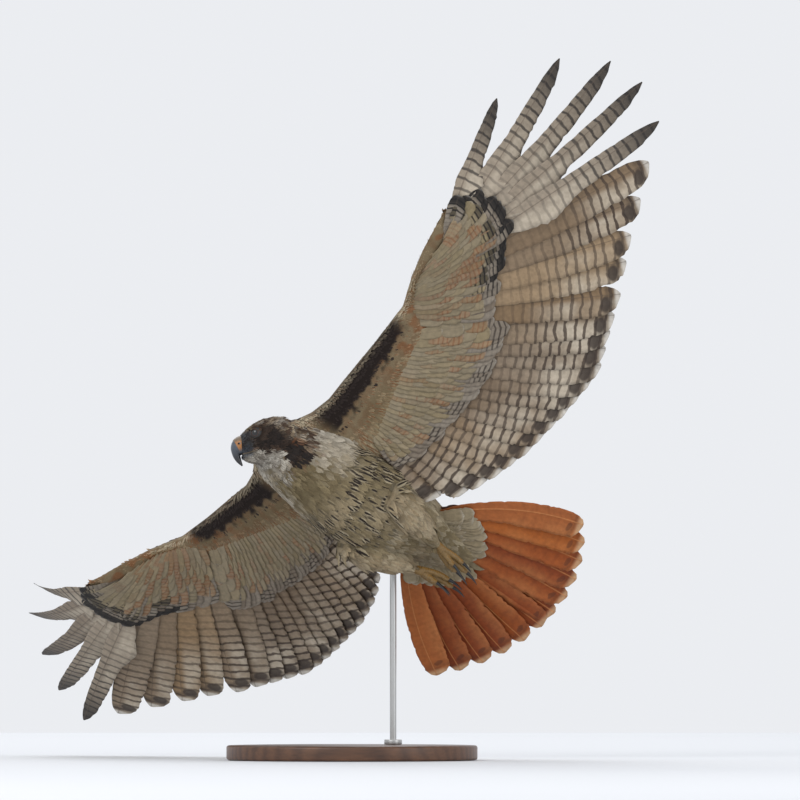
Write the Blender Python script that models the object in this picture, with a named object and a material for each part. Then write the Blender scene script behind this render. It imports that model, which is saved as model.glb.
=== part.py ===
# Red tailed hawk, life size, gliding in a right bank on a plain display stand.
#
# The bird is modelled in its own frame, in centimetres: X forwards, Y to its left, Z to its back,
# with the origin midway between the shoulders. One matrix carries it into the flight attitude.
# The world is in metres, +Z up, with the origin at the centre of the underside of the stand's base.

import math
import random

import bmesh
import bpy
from mathutils import Matrix, Vector

CM = 0.01
LEFT, RIGHT = 1, -1
SIDE_NAMES = {LEFT: "left", RIGHT: "right"}

# Flight attitude, and where the midpoint between the shoulders hangs over the base, in metres
HEADING = math.radians(206.6)
CLIMB = math.radians(26.6)
BANK = math.radians(44.3)
SHOULDER_POINT = Vector((-0.0765, -0.020, 0.390))

# Clearances and thicknesses, in centimetres
GAP = 0.03
VANE_THICKNESS = 0.07
SHINGLE_SLOPE = 0.10

# Body feathers' outer form: x, height of the centre, half width, half depth
BODY_ROWS = (
    (3.4, -2.3, 2.7, 2.7),
    (2.8, -2.2, 3.55, 3.55),
    (1.8, -2.1, 4.25, 4.25),
    (0.5, -2.05, 4.75, 4.7),
    (-1.2, -2.2, 5.2, 5.0),
    (-3.5, -2.45, 5.75, 5.35),
    (-7.0, -2.8, 6.3, 5.8),
    (-11.0, -3.0, 6.5, 6.0),
    (-15.0, -2.9, 6.0, 5.5),
    (-18.4, -2.7, 5.1, 4.5),
    (-21.5, -2.7, 4.2, 3.4),
    (-24.5, -3.2, 3.3, 2.2),
    (-27.0, -3.9, 2.4, 1.2),
)
NECK_FRONT = 3.4
NECK_X = -1.2
RUMP_X = -18.4
RUMP_END = -27.0

# Head, in its own frame: x forwards from its middle, height of the centre, half width, half height
HEAD_PLACE = Vector((3.66, 0.25, -2.41))
HEAD_ROWS = (
    (-3.6, 0.0, 1.30, 1.40),
    (-3.1, 0.0, 2.20, 2.30),
    (-2.2, 0.0, 2.75, 2.85),
    (-1.0, 0.0, 2.95, 3.05),
    (0.4, 0.0, 2.85, 3.00),
    (1.6, -0.05, 2.50, 2.68),
    (2.6, -0.10, 1.95, 2.20),
    (3.42, -0.15, 1.30, 1.68),
)
HEAD_FORWARD = Vector((-0.96, -0.12, -0.22))
HEAD_UP = Vector((-0.20, 0.20, 0.95))
EYE_PLACE = (1.30, 1.85, 1.05)
EYE_RADIUS = 0.78
# Bill: x forwards, height, half width, half depth, and the tilt of each ring from upright, in degrees
UPPER_BILL = (
    (3.45, 0.30, 1.05, 1.15, 0),
    (3.92, 0.12, 0.88, 1.02, 14),
    (4.15, -0.18, 0.70, 0.78, 35),
    (4.20, -0.60, 0.50, 0.54, 62),
    (4.15, -1.10, 0.34, 0.42, 85),
    (4.00, -1.65, 0.20, 0.28, 105),
    (3.78, -2.20, 0.06, 0.09, 115),
)
LOWER_BILL = (
    (3.45, -1.24, 0.78, 0.28, 0),
    (3.58, -1.22, 0.52, 0.22, 0),
    (3.66, -1.20, 0.26, 0.12, 0),
)

# Wing flesh: y along the span, x and height of the leading edge, chord, half thickness
WING_STATIONS = (
    (4.0, 2.7, -1.1, 12.2, 1.35),
    (6.0, 1.3, -0.5, 11.2, 1.42),
    (8.5, 0.5, 0.2, 10.3, 1.40),
    (12.0, 0.4, 1.1, 9.4, 1.30),
    (17.0, 0.1, 2.5, 7.8, 1.15),
    (22.8, -0.3, 4.7, 5.6, 1.00),
    (27.0, 1.5, 5.0, 4.4, 0.85),
    (31.0, 2.8, 5.2, 3.3, 0.72),
    (34.8, 3.6, 5.7, 2.1, 0.55),
    (37.0, 3.9, 6.5, 1.1, 0.35),
)
WRIST_Y = 22.8
# Trailing edge, where the secondary tips end: y, x, height
TRAILING_EDGE = (
    (6.8, -18.0, -4.0),
    (9.6, -20.8, -3.5),
    (13.0, -22.4, -2.5),
    (18.0, -23.9, -1.1),
    (25.0, -24.8, 0.9),
    (30.5, -25.1, 2.5),
    (37.0, -22.4, 4.4),
)
# Primary tips from the innermost, P1, to the outermost, P10
PRIMARY_TIPS = (
    (-21.4, 39.6, 5.2),
    (-19.6, 43.2, 6.7),
    (-18.0, 46.3, 7.6),
    (-16.3, 50.5, 9.3),
    (-14.4, 54.8, 10.8),
    (-12.5, 59.5, 12.7),
    (-9.4, 60.4, 17.2),
    (-5.8, 58.9, 20.2),
    (-0.9, 55.0, 21.1),
    (3.6, 48.0, 17.1),
)
SECONDARY_COUNT = 15
FINGER_COUNT = 5
# Full widths of the feathers' vanes
BLADE_WIDTH = 4.4
INNER_BLADE_NARROWER = 0.8
FINGER_WIDTH = 4.7
LEADING_FINGER_WIDTH = 3.8
RECTRIX_WIDTH = 3.9
COVERT_WIDTH = 3.2
# How far the greater coverts reach along their flight feathers, and how high they lie over them
ARM_COVERT_REACH = 0.42
HAND_COVERT_REACH = 0.34
COVERT_SPREAD = 0.05
COVERT_LIFT = 0.45
COVERT_ROOT_LIFT = 0.32

# Tail: the fan's centre, its reach and half angle, and the roots on the tail's stub
FAN_CENTRE_X = -10.3
FAN_REACH = 29.5
FAN_HALF_ANGLE = math.radians(32.5)
TAIL_PAIRS = 6
# How far each half's outer feathers bow outwards: the tail is twisted a little in the bank
TAIL_FLARE = {LEFT: 3.4, RIGHT: 2.4}
TAIL_DROP = -6.2
# Tail coverts above (1) and below (-1): reach of the middle pair, and what each next pair loses
TAIL_COVERT_REACH = {1: 0.42, -1: 0.50}
TAIL_COVERT_STEP = 0.03
TAIL_COVERT_SPREAD = 0.02
TAIL_COVERT_LIFT = 0.5

# Stand, in metres
BASE_SIZE = (0.31, 0.25, 0.018)
BASE_BEVEL = 0.003
ROD_RADIUS = 0.004
ROD_PLACE = (0.0508, 0.0640)
ROD_TOP = 0.270
COLLAR_RADIUS = 0.011
COLLAR_HEIGHT = 0.006

rng = random.Random(11)


def clear_scene():
    for obj in list(bpy.data.objects):
        bpy.data.objects.remove(obj, do_unlink=True)


def new_collection(name):
    collection = bpy.data.collections.new(name)
    bpy.context.scene.collection.children.link(collection)
    return collection


clear_scene()
hawk = new_collection("red_tailed_hawk")
cutters = new_collection("cutters")


def flight_matrix():
    turn = Matrix.Rotation(HEADING, 4, "Z") @ Matrix.Rotation(-CLIMB, 4, "Y") @ Matrix.Rotation(BANK, 4, "X")
    return Matrix.Translation(SHOULDER_POINT) @ turn @ Matrix.Scale(CM, 4)


FLIGHT = flight_matrix()


def finish_material(name, colour, roughness, metallic=0.0):
    material = bpy.data.materials.new(name)
    material.use_nodes = True
    shader = material.node_tree.nodes["Principled BSDF"]
    shader.inputs["Base Color"].default_value = (*colour, 1.0)
    shader.inputs["Roughness"].default_value = roughness
    shader.inputs["Metallic"].default_value = metallic
    return material


MATERIALS = {
    "body": finish_material("body_feathers", (0.35, 0.27, 0.18), 0.85),
    "head": finish_material("head_feathers", (0.10, 0.07, 0.05), 0.85),
    "wing": finish_material("wing_feathers", (0.26, 0.21, 0.16), 0.75),
    "tail": finish_material("tail_feathers", (0.45, 0.15, 0.04), 0.70),
    "foot": finish_material("foot_scales", (0.42, 0.26, 0.05), 0.60),
    "bill": finish_material("bill_horn", (0.06, 0.06, 0.07), 0.35),
    "claw": finish_material("claw_horn", (0.02, 0.02, 0.02), 0.35),
    "eye": finish_material("eye", (0.06, 0.03, 0.02), 0.08),
    "base": finish_material("stand_wood", (0.08, 0.05, 0.03), 0.45),
    "rod": finish_material("stand_steel", (0.55, 0.55, 0.56), 0.30, 1.0),
}


# Meshes

def object_from(bm, name, finish, collection, matrix=FLIGHT):
    bmesh.ops.recalc_face_normals(bm, faces=bm.faces[:])
    mesh = bpy.data.meshes.new(name)
    bm.to_mesh(mesh)
    bm.free()
    mesh.transform(matrix)
    mesh.update()
    obj = bpy.data.objects.new(name, mesh)
    obj.data.materials.append(MATERIALS[finish])
    collection.objects.link(obj)
    return obj


def loft(rings, bm=None):
    """Closed skin through rings of points, each ring with the same count, flat at both ends."""
    bm = bm or bmesh.new()
    rows = [[bm.verts.new(point) for point in ring] for ring in rings]
    count = len(rows[0])
    for near, far in zip(rows, rows[1:]):
        for i in range(count):
            j = (i + 1) % count
            bm.faces.new((near[i], near[j], far[j]))
            bm.faces.new((near[i], far[j], far[i]))
    bmesh.ops.triangulate(bm, faces=[bm.faces.new(rows[0][::-1]), bm.faces.new(rows[-1])])
    return bm


def oval_ring(centre, side, up, count):
    angles = [2 * math.pi * i / count for i in range(count)]
    return [centre + side * math.cos(a) + up * math.sin(a) for a in angles]


def interpolate(rows, x):
    """Row of values at x, from rows sorted by their first value either way."""
    ordered = sorted(rows)
    if x <= ordered[0][0]:
        return ordered[0][1:]
    for low, high in zip(ordered, ordered[1:]):
        if x <= high[0]:
            f = (x - low[0]) / (high[0] - low[0])
            return tuple(a + (b - a) * f for a, b in zip(low[1:], high[1:]))
    return ordered[-1][1:]


def tube(path, radii, count):
    """Closed tube along a path, with one radius at each point."""
    rings = []
    for i, (point, radius) in enumerate(zip(path, radii)):
        ahead = path[min(i + 1, len(path) - 1)] - path[max(i - 1, 0)]
        ahead.normalize()
        side = ahead.cross(Vector((0, 0, 1))).normalized()
        up = side.cross(ahead)
        rings.append(oval_ring(point, side * radius, up * radius, count))
    return loft(rings)


def bezier(start, control, end, t):
    return start * (1 - t) ** 2 + control * (2 * t * (1 - t)) + end * t ** 2


def apply_modifiers(obj):
    graph = bpy.context.evaluated_depsgraph_get()
    mesh = bpy.data.meshes.new_from_object(obj.evaluated_get(graph))
    obj.modifiers.clear()
    obj.data = mesh


def keep_largest(obj):
    """Drops every closed surface of a mesh but the one with the most faces' area."""
    bm = bmesh.new()
    bm.from_mesh(obj.data)
    left, islands = set(bm.faces), []
    while left:
        queue, island = [left.pop()], []
        while queue:
            face = queue.pop()
            island.append(face)
            for edge in face.edges:
                for other in edge.link_faces:
                    if other in left:
                        left.remove(other)
                        queue.append(other)
        islands.append(island)
    islands.sort(key=lambda faces: -sum(f.calc_area() for f in faces))
    scraps = [face for island in islands[1:] for face in island]
    bmesh.ops.delete(bm, geom=scraps, context="FACES")
    bmesh.ops.delete(bm, geom=[v for v in bm.verts if not v.link_faces], context="VERTS")
    bmesh.ops.triangulate(bm, faces=bm.faces[:])
    bm.to_mesh(obj.data)
    bm.free()


def join_all(obj, pieces):
    """Joins closed pieces to obj by one union, and removes them."""
    group = new_collection(obj.name + "_pieces")
    for piece in pieces:
        for owner in list(piece.users_collection):
            owner.objects.unlink(piece)
        group.objects.link(piece)
    union = obj.modifiers.new("join", "BOOLEAN")
    union.operation = "UNION"
    union.operand_type = "COLLECTION"
    union.collection = group
    union.solver = "EXACT"
    apply_modifiers(obj)
    for piece in pieces:
        bpy.data.objects.remove(piece, do_unlink=True)
    bpy.data.collections.remove(group)
    keep_largest(obj)


def cut(obj, tool):
    """Takes the tool's volume out of obj."""
    difference = obj.modifiers.new("cut", "BOOLEAN")
    difference.operation = "DIFFERENCE"
    difference.object = tool
    difference.solver = "EXACT"
    apply_modifiers(obj)
    keep_largest(obj)


def as_cutter(obj):
    obj.hide_render = True
    obj.display_type = "WIRE"
    return obj


# Torso, rump and neck

BODY_SIDES = 20


def body_ring(x, grow=0.0):
    height, width, depth = interpolate(BODY_ROWS, x)
    centre = Vector((x, 0, height))
    return oval_ring(centre, Vector((0, width + grow, 0)), Vector((0, 0, depth + grow)), BODY_SIDES)


def body_stations(front, back):
    """Both ends and every row between them, so that meeting surfaces have the same facets."""
    return [front] + [row[0] for row in BODY_ROWS if back < row[0] < front] + [back]


def make_torso():
    rings = [body_ring(x) for x in body_stations(NECK_X, RUMP_X + GAP)]
    return object_from(loft(rings), "torso", "body", hawk)


def make_body_cutter():
    """Neck, torso and rump in one, grown by the gap, for what lies against them."""
    rings = [body_ring(x, GAP) for x in body_stations(NECK_FRONT, RUMP_END)]
    return as_cutter(object_from(loft(rings), "body_clearance", "body", cutters))


def head_frame():
    """Head's forward, left and up axes in the bird's frame."""
    inverse = FLIGHT.to_3x3().normalized().inverted()
    forward = (inverse @ HEAD_FORWARD).normalized()
    up = inverse @ HEAD_UP
    left = up.cross(forward).normalized()
    return forward, left, forward.cross(left)


HEAD_AXES = head_frame()


def head_point(x, y, z):
    forward, left, up = HEAD_AXES
    return HEAD_PLACE + forward * x + left * y + up * z


def head_ring(x, height, width, depth, count=20):
    forward, left, up = HEAD_AXES
    return oval_ring(head_point(x, 0, height), left * width, up * depth, count)


def head_loft(grow=0.0):
    first, last = HEAD_ROWS[0], HEAD_ROWS[-1]
    rings = [head_ring(first[0] - grow, *first[1:])]
    rings += [head_ring(x, height, width + grow, depth + grow) for x, height, width, depth in HEAD_ROWS[1:-1]]
    rings.append(head_ring(last[0] + grow, *last[1:]))
    return loft(rings)


def make_neck():
    """Collar of neck feathers, hollowed for the back of the head."""
    rings = [body_ring(x) for x in body_stations(NECK_FRONT, NECK_X + GAP)]
    neck = object_from(loft(rings), "neck", "body", hawk)
    tool = as_cutter(object_from(head_loft(GAP), "head_clearance", "head", cutters))
    cut(neck, tool)


# Head, eyes and bill

def blob(name, centre, sizes, finish, segments=16, rings=10):
    """Egg shape with its own half sizes along the head's axes."""
    bm = bmesh.new()
    bmesh.ops.create_uvsphere(bm, u_segments=segments, v_segments=rings, radius=1.0)
    forward, left, up = HEAD_AXES
    for vert in bm.verts:
        x, y, z = vert.co
        vert.co = centre + forward * (x * sizes[0]) + left * (y * sizes[1]) + up * (z * sizes[2])
    return object_from(bm, name, finish, cutters)


def lid_ring(side):
    """Rim of the eyelids, a flattened ring round the eye."""
    x, y, z = EYE_PLACE
    bm = bmesh.new()
    around, sides, radius, rim = 12, 4, 0.66, 0.14
    rows = []
    for i in range(around):
        a = 2 * math.pi * i / around
        middle = Vector((math.cos(a) * radius, 0.60, math.sin(a) * radius * 0.86))
        out = Vector((math.cos(a), 0, math.sin(a)))
        row = []
        for j in range(sides):
            b = 2 * math.pi * j / sides
            spot = middle + out * (rim * math.cos(b)) + Vector((0, 0.24, 0)) * math.sin(b)
            row.append(bm.verts.new(head_point(x + spot.x, side * (y - 0.06 + spot.y), z + spot.z)))
        rows.append(row)
    for i in range(around):
        for j in range(sides):
            near, far = rows[i], rows[(i + 1) % around]
            k = (j + 1) % sides
            bm.faces.new((near[j], near[k], far[k]))
            bm.faces.new((near[j], far[k], far[j]))
    return object_from(bm, "lid_ring", "head", cutters)


def make_head():
    head = object_from(head_loft(), "head", "head", hawk)
    pieces = []
    x, y, z = EYE_PLACE
    for side in (LEFT, RIGHT):
        pieces.append(lid_ring(side))
        brow = head_point(x + 0.15, side * (y + 0.38), z + 0.72)
        pieces.append(blob("brow", brow, (1.15, 0.45, 0.22), "head", 10, 6))
    join_all(head, pieces)
    size = EYE_RADIUS + GAP
    for side in (LEFT, RIGHT):
        socket = blob("socket", head_point(x, side * y, z), (size, size, size), "eye", 12, 8)
        cut(head, socket)
        bpy.data.objects.remove(socket, do_unlink=True)


def make_eye(side):
    x, y, z = EYE_PLACE
    size = (EYE_RADIUS,) * 3
    eye = blob("eye_" + SIDE_NAMES[side], head_point(x, side * y, z), size, "eye", 12, 8)
    cutters.objects.unlink(eye)
    hawk.objects.link(eye)


def bill_loft(rows, count=14):
    forward, left, up = HEAD_AXES
    rings = []
    for x, z, width, depth, tilt in rows:
        a = math.radians(tilt)
        rise = up * math.cos(a) + forward * math.sin(a)
        rings.append(oval_ring(head_point(x, 0, z), left * width, rise * depth, count))
    return loft(rings)


def make_bills():
    upper = object_from(bill_loft(UPPER_BILL), "bill_upper", "bill", hawk)
    for side in (LEFT, RIGHT):
        nostril = blob("nostril", head_point(3.80, side * 0.84, 0.42), (0.17, 0.16, 0.11), "bill", 10, 6)
        cut(upper, nostril)
        bpy.data.objects.remove(nostril, do_unlink=True)
    object_from(bill_loft(LOWER_BILL, 10), "bill_lower", "bill", hawk)


# Feather vanes

def vane(name, line, normals, widths, finish, side, thickness=VANE_THICKNESS):
    """One flat, tapered vane. line holds its shaft's points, widths (outer, inner) at each of them.

    The outer edge lies towards the back and the inner edge towards the belly, so that neighbours
    lie over one another like shingles. Both faces are split along the same diagonals.
    """
    bm = bmesh.new()
    rows = []
    last = len(line) - 1
    for i, (point, normal, (outer, inner)) in enumerate(zip(line, normals, widths)):
        ahead = (line[min(i + 1, last)] - line[max(i - 1, 0)]).normalized()
        normal = (normal - ahead * normal.dot(ahead)).normalized()
        across = normal.cross(ahead)
        slope = (across - normal * SHINGLE_SLOPE).normalized()
        half = normal * (thickness / 2 * (0.6 if i == last else 1.0))
        corners = (point - slope * outer, point + slope * inner)
        spots = (corners[0] + half, corners[1] + half, corners[1] - half, corners[0] - half)
        rows.append([bm.verts.new((p.x, p.y * side, p.z)) for p in spots])
    for near, far in zip(rows, rows[1:]):
        bm.faces.new((near[0], near[1], far[1]))
        bm.faces.new((near[0], far[1], far[0]))
        bm.faces.new((near[3], far[2], near[2]))
        bm.faces.new((near[3], far[3], far[2]))
        for a, b in ((1, 2), (3, 0)):
            bm.faces.new((near[a], near[b], far[b]))
            bm.faces.new((near[a], far[b], far[a]))
    for end in (rows[0], rows[-1]):
        bm.faces.new(end[:3])
        bm.faces.new((end[0], end[2], end[3]))
    return object_from(bm, name, finish, cutters)


# Outlines: share of the length, outer width, inner width, both as shares of the full width
BLADE = (
    (0, 0.06, 0.06),
    (0.20, 0.22, 0.40),
    (0.55, 0.32, 0.66),
    (0.92, 0.28, 0.56),
    (1, 0.09, 0.20),
)
FINGER = (
    (0, 0.06, 0.06),
    (0.20, 0.22, 0.44),
    (0.44, 0.26, 0.68),
    (0.58, 0.19, 0.40),
    (0.90, 0.14, 0.28),
    (1, 0.03, 0.04),
)
COVERT = ((0, 0.08, 0.08), (0.35, 0.34, 0.50), (0.78, 0.36, 0.52), (1, 0.12, 0.18))


def wing_station(y):
    """x and height of the leading edge, chord and half thickness of the wing's flesh at y."""
    return interpolate(WING_STATIONS, y)


QUILL_COUNT = SECONDARY_COUNT + len(PRIMARY_TIPS)
SECONDARY_ROOTS = (7.6, 21.1)
PRIMARY_ROOTS = (24.0, 34.4)


def root_line():
    """Span position of every quill's root, from the innermost to the outermost."""
    spans = []
    for ends, count in ((SECONDARY_ROOTS, SECONDARY_COUNT), (PRIMARY_ROOTS, len(PRIMARY_TIPS))):
        spans += [ends[0] + (ends[1] - ends[0]) * k / (count - 1) for k in range(count)]
    return spans


def tip_line():
    """Tip of every flight feather, from the innermost to the outermost."""
    tips = []
    inner, outer = TRAILING_EDGE[0][0], TRAILING_EDGE[-1][0]
    for k in range(SECONDARY_COUNT):
        y = inner + (outer - inner) * (k / (SECONDARY_COUNT - 1)) ** 0.95
        x, height = interpolate(TRAILING_EDGE, y)
        tips.append(Vector((x, y, height)))
    return tips + [Vector(tip) for tip in PRIMARY_TIPS]


ROOT_SPANS = root_line()
FEATHER_TIPS = tip_line()


def between(values, k):
    """Value at a fractional place in a list, carried on past its ends."""
    low = max(0, min(len(values) - 2, math.floor(k)))
    return values[low] + (values[low + 1] - values[low]) * (k - low)


def quill_curve(k, t):
    """Point on the shaft of flight feather k at share t of its length; k may lie between two feathers."""
    y = between(ROOT_SPANS, k)
    x, height, chord = wing_station(y)[:3]
    root = Vector((x - chord * 0.80, y, height - chord * 0.07))
    tip = between(FEATHER_TIPS, k)
    outer = max(0, min(1, (k - SECONDARY_COUNT) / (len(PRIMARY_TIPS) - 1)))
    hand = max(0, min(1, k - SECONDARY_COUNT + 1))
    control = root.lerp(tip, 0.52) + Vector((hand * (0.5 + 1.3 * outer), 0.5 * (1 - hand), 0.5 * (1 - hand)))
    control.z += hand * (root.z + (tip.z - root.z) * (0.45 - 0.35 * outer) - control.z)
    return bezier(root, control, tip, t)


def wing_normal(k, t):
    """Direction of the wing's back at flight feather k; the fingers' outer parts stay level."""
    along = quill_curve(k, t + 0.02) - quill_curve(k, t - 0.02)
    across = quill_curve(k + 0.5, t) - quill_curve(k - 0.5, t)
    normal = along.cross(across).normalized()
    if normal.z < 0:
        normal.negate()
    finger = max(0, min(1, (k - QUILL_COUNT + FINGER_COUNT + 1) / 2)) * max(0, min(1, (t - 0.30) / 0.3))
    return normal.lerp(Vector((0.04, -0.18, 1)).normalized(), finger)


def feather(name, k, side, outline, width, reach=1.0, start=0.0, lift=0.0, root_lift=None):
    """Vane over flight feather k's line, from share start to share reach, raised by lift."""
    root_lift = lift if root_lift is None else root_lift
    line, normals, widths = [], [], []
    for share, outer, inner in outline:
        t = start + (reach - start) * share
        normal = wing_normal(k, t)
        rise = root_lift + (lift - root_lift) * min(1, share / 0.4)
        line.append(quill_curve(k, t) + normal * rise)
        normals.append(normal)
        widths.append((outer * width, inner * width))
    return vane(name, line, normals, widths, "wing", side)


def flight_feathers(ks, side):
    made = []
    for k in ks:
        if k == QUILL_COUNT - 1:
            made.append(feather("flight", k, side, FINGER, LEADING_FINGER_WIDTH))
        elif k >= QUILL_COUNT - FINGER_COUNT:
            made.append(feather("flight", k, side, FINGER, FINGER_WIDTH))
        else:
            width = BLADE_WIDTH - INNER_BLADE_NARROWER * max(0, 1 - k / 5)
            made.append(feather("flight", k, side, BLADE, width))
    return made


def covert_feathers(ks, side):
    """Greater coverts above and below."""
    made = []
    for k in ks:
        thinner = max(0, min(1, (k - SECONDARY_COUNT) / 5))
        lift = COVERT_LIFT - 0.09 * thinner
        root = COVERT_ROOT_LIFT - 0.12 * thinner
        reach = ARM_COVERT_REACH if k < SECONDARY_COUNT else HAND_COVERT_REACH
        reach *= rng.uniform(1 - COVERT_SPREAD, 1 + COVERT_SPREAD)
        for sign in (1, -1):
            lifts = (sign * lift, sign * root)
            made.append(feather("greater", k, side, COVERT, COVERT_WIDTH, reach, 0.0, *lifts))
    return made


# Section of the flesh: share of the chord, and height as a share of the half thickness
AIRFOIL = (
    (0.0, 0.05),
    (0.05, 0.62),
    (0.28, 1.0),
    (0.62, 0.92),
    (0.88, 0.62),
    (1.0, 0.12),
    (0.96, -0.30),
    (0.80, -0.62),
    (0.50, -0.78),
    (0.22, -0.74),
    (0.04, -0.40),
)


def wing_core_ring(y, side):
    x, height, chord, thick = wing_station(y)
    return [Vector((x - u * chord, y * side, height - 0.07 * u * chord + v * thick)) for u, v in AIRFOIL]


def make_wing_node(name, side, stations, quills):
    rings = [wing_core_ring(y, side) for y in stations]
    wing = object_from(loft(rings), name, "wing", hawk)
    join_all(wing, flight_feathers(quills, side) + covert_feathers(quills, side))
    return wing


ARM_STATIONS = (4.0, 6.0, 8.5, 12.0, 17.0, WRIST_Y - GAP / 2)
HAND_STATIONS = (WRIST_Y + GAP / 2, 27.0, 31.0, 34.8, 37.0)


def make_wing(side, body_cutter):
    label = "wing_" + SIDE_NAMES[side]
    arm = make_wing_node(label + "_arm", side, ARM_STATIONS, range(SECONDARY_COUNT))
    cut(arm, body_cutter)
    make_wing_node(label + "_hand", side, HAND_STATIONS, range(SECONDARY_COUNT, QUILL_COUNT))


# Tail

def tail_feather(pair, side, reach=1.0, start=0.0, lift=0.0, width=RECTRIX_WIDTH, outline=BLADE):
    f = (pair + 0.5) / TAIL_PAIRS
    angle = FAN_HALF_ANGLE * (pair + 0.42) / (TAIL_PAIRS - 0.58)
    radius = FAN_REACH - 1.9 * f * f
    tip = Vector((FAN_CENTRE_X - radius * math.cos(angle), radius * math.sin(angle), TAIL_DROP - 0.4 * f))
    flare = TAIL_FLARE[side]
    root = Vector((RUMP_X - 0.9, 0.15 + 0.9 * flare * f, -2.9 - 0.1 * f))
    control = root.lerp(tip, 0.5) + Vector((0.9 * f, flare * f, 0.35))
    step = 0.13 if side == LEFT and pair == 0 else 0.0
    line, normals, widths = [], [], []
    for share, outer, inner in outline:
        t = start + (reach - start) * share
        normal = Vector((-0.166, 0.03, 1)).normalized()
        line.append(bezier(root, control, tip, t) + normal * (lift + step))
        normals.append(normal)
        widths.append((outer * width, inner * width))
    return vane("rectrix", line, normals, widths, "tail", side)


def make_tail():
    rings = [body_ring(x) for x in body_stations(RUMP_X, RUMP_END)]
    tail = object_from(loft(rings), "tail", "tail", hawk)
    pieces = []
    for side in (LEFT, RIGHT):
        for pair in range(TAIL_PAIRS):
            pieces.append(tail_feather(pair, side))
            for sign in (1, -1):
                reach = TAIL_COVERT_REACH[sign] - TAIL_COVERT_STEP * pair
                reach += rng.uniform(-TAIL_COVERT_SPREAD, TAIL_COVERT_SPREAD)
                lift = sign * TAIL_COVERT_LIFT
                pieces.append(tail_feather(pair, side, reach, 0.05, lift, COVERT_WIDTH, COVERT))
    join_all(tail, pieces)


# Legs and feet

# Feathered leg, drawn back under the rump: x, y, height, radius
LEG_ROWS = (
    (-11.5, 4.3, -6.0, 2.2),
    (-14.5, 4.1, -6.5, 2.6),
    (-17.5, 3.4, -6.9, 2.1),
    (-20.3, 2.5, -7.25, 1.05),
)


def make_leg(side, body_cutter):
    path = [Vector((x, y * side, z)) for x, y, z, radius in LEG_ROWS]
    radii = [row[3] for row in LEG_ROWS]
    leg = object_from(tube(path, radii, 16), "leg_" + SIDE_NAMES[side], "body", hawk)
    cut(leg, body_cutter)


# Toes: name, side step, drop, length, radius, claw length
TOES = (
    ("inner", -0.62, -0.10, 3.7, 0.40, 2.0),
    ("middle", 0.0, 0.05, 4.8, 0.40, 1.8),
    ("outer", 0.60, -0.05, 3.6, 0.36, 1.5),
    ("back", 0.05, -0.80, 2.5, 0.38, 2.1),
)
HUB_DISTANCE = 1.5
# Claw's rings: share of its length, share of its toe's radius. It curves down behind the second one
CLAW_ROWS = ((0, 0.62), (0.08, 0.60), (0.4, 0.46), (0.75, 0.28), (1.0, 0.07))
CLAW_FALL = Vector((0.11, 0, -0.44))


def leg_end(side):
    """Middle of the leg's rear face, and the direction that the foot leaves it in."""
    path = [Vector((x, y * side, z)) for x, y, z, radius in LEG_ROWS[-2:]]
    return path[1], (path[1] - path[0]).normalized()


def toe_point(side, spread, drop, distance):
    """Point on a toe of the closed foot that trails behind the tucked leg."""
    end, ahead = leg_end(side)
    share = distance / 5
    back = (ahead + Vector((-share, 0, 0))).normalized()
    across = Vector((0, side, 0)) * (spread * (0.45 + 0.8 * math.sin(min(1, share) * math.pi * 0.8)))
    fall = Vector((0, 0, drop * min(1, share * 2) - 0.5 * share * share))
    return end + ahead * (HUB_DISTANCE - 0.5) + back * distance + across + fall


def make_claw(toe_path, thick, length, name):
    onward = (toe_path[-1] - toe_path[-2]).normalized()
    base = toe_path[-1] + onward * GAP
    path, radii = [], []
    for share, radius in CLAW_ROWS:
        bend = max(0, share - CLAW_ROWS[1][0])
        path.append(base + onward * (length * share) + CLAW_FALL * (length * bend * bend))
        radii.append(thick * radius)
    object_from(tube(path, radii, 6), name, "claw", hawk)


def make_foot(side):
    label = SIDE_NAMES[side]
    end, ahead = leg_end(side)
    shank = [end + ahead * d for d in (GAP, HUB_DISTANCE * 0.5, HUB_DISTANCE)]
    foot = object_from(tube(shank, [0.55, 0.58, 0.62], 10), "foot_" + label, "foot", hawk)
    pieces = []
    for name, spread, drop, length, thick, claw in TOES:
        path = [toe_point(side, spread, drop, length * share) for share in (0.0, 0.3, 0.6, 1.0)]
        radii = [thick * share for share in (1.0, 0.90, 1.0, 0.66)]
        pieces.append(object_from(tube(path, radii, 6), "toe", "foot", cutters))
        make_claw(path, thick, claw, "claw_" + label + "_" + name)
    join_all(foot, pieces)


# Stand

def make_stand(body_cutter):
    width, depth, height = BASE_SIZE
    bm = bmesh.new()
    bmesh.ops.create_cone(bm, cap_ends=True, segments=36, radius1=0.5, radius2=0.5, depth=1.0)
    bmesh.ops.scale(bm, vec=(width, depth, height), verts=bm.verts[:])
    bmesh.ops.translate(bm, vec=(0, 0, height / 2), verts=bm.verts[:])
    top = [e for e in bm.edges if all(v.co.z > height / 2 for v in e.verts)]
    rim = [e for e in top if e.calc_face_angle() > 1]
    bmesh.ops.bevel(bm, geom=rim, offset=BASE_BEVEL, segments=2, profile=0.5, affect="EDGES")
    object_from(bm, "stand_base", "base", hawk, Matrix.Identity(4))

    gap = GAP * CM
    x, y = ROD_PLACE
    bottom = height + gap
    shoulder = bottom + COLLAR_HEIGHT
    profile = (
        (COLLAR_RADIUS, bottom),
        (COLLAR_RADIUS, shoulder),
        (ROD_RADIUS, shoulder),
        (ROD_RADIUS, ROD_TOP),
    )
    rings = []
    for radius, z in profile:
        rings.append(oval_ring(Vector((x, y, z)), Vector((radius, 0, 0)), Vector((0, radius, 0)), 14))
    rod = object_from(loft(rings), "stand_rod", "rod", hawk, Matrix.Identity(4))
    cut(rod, body_cutter)


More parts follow.
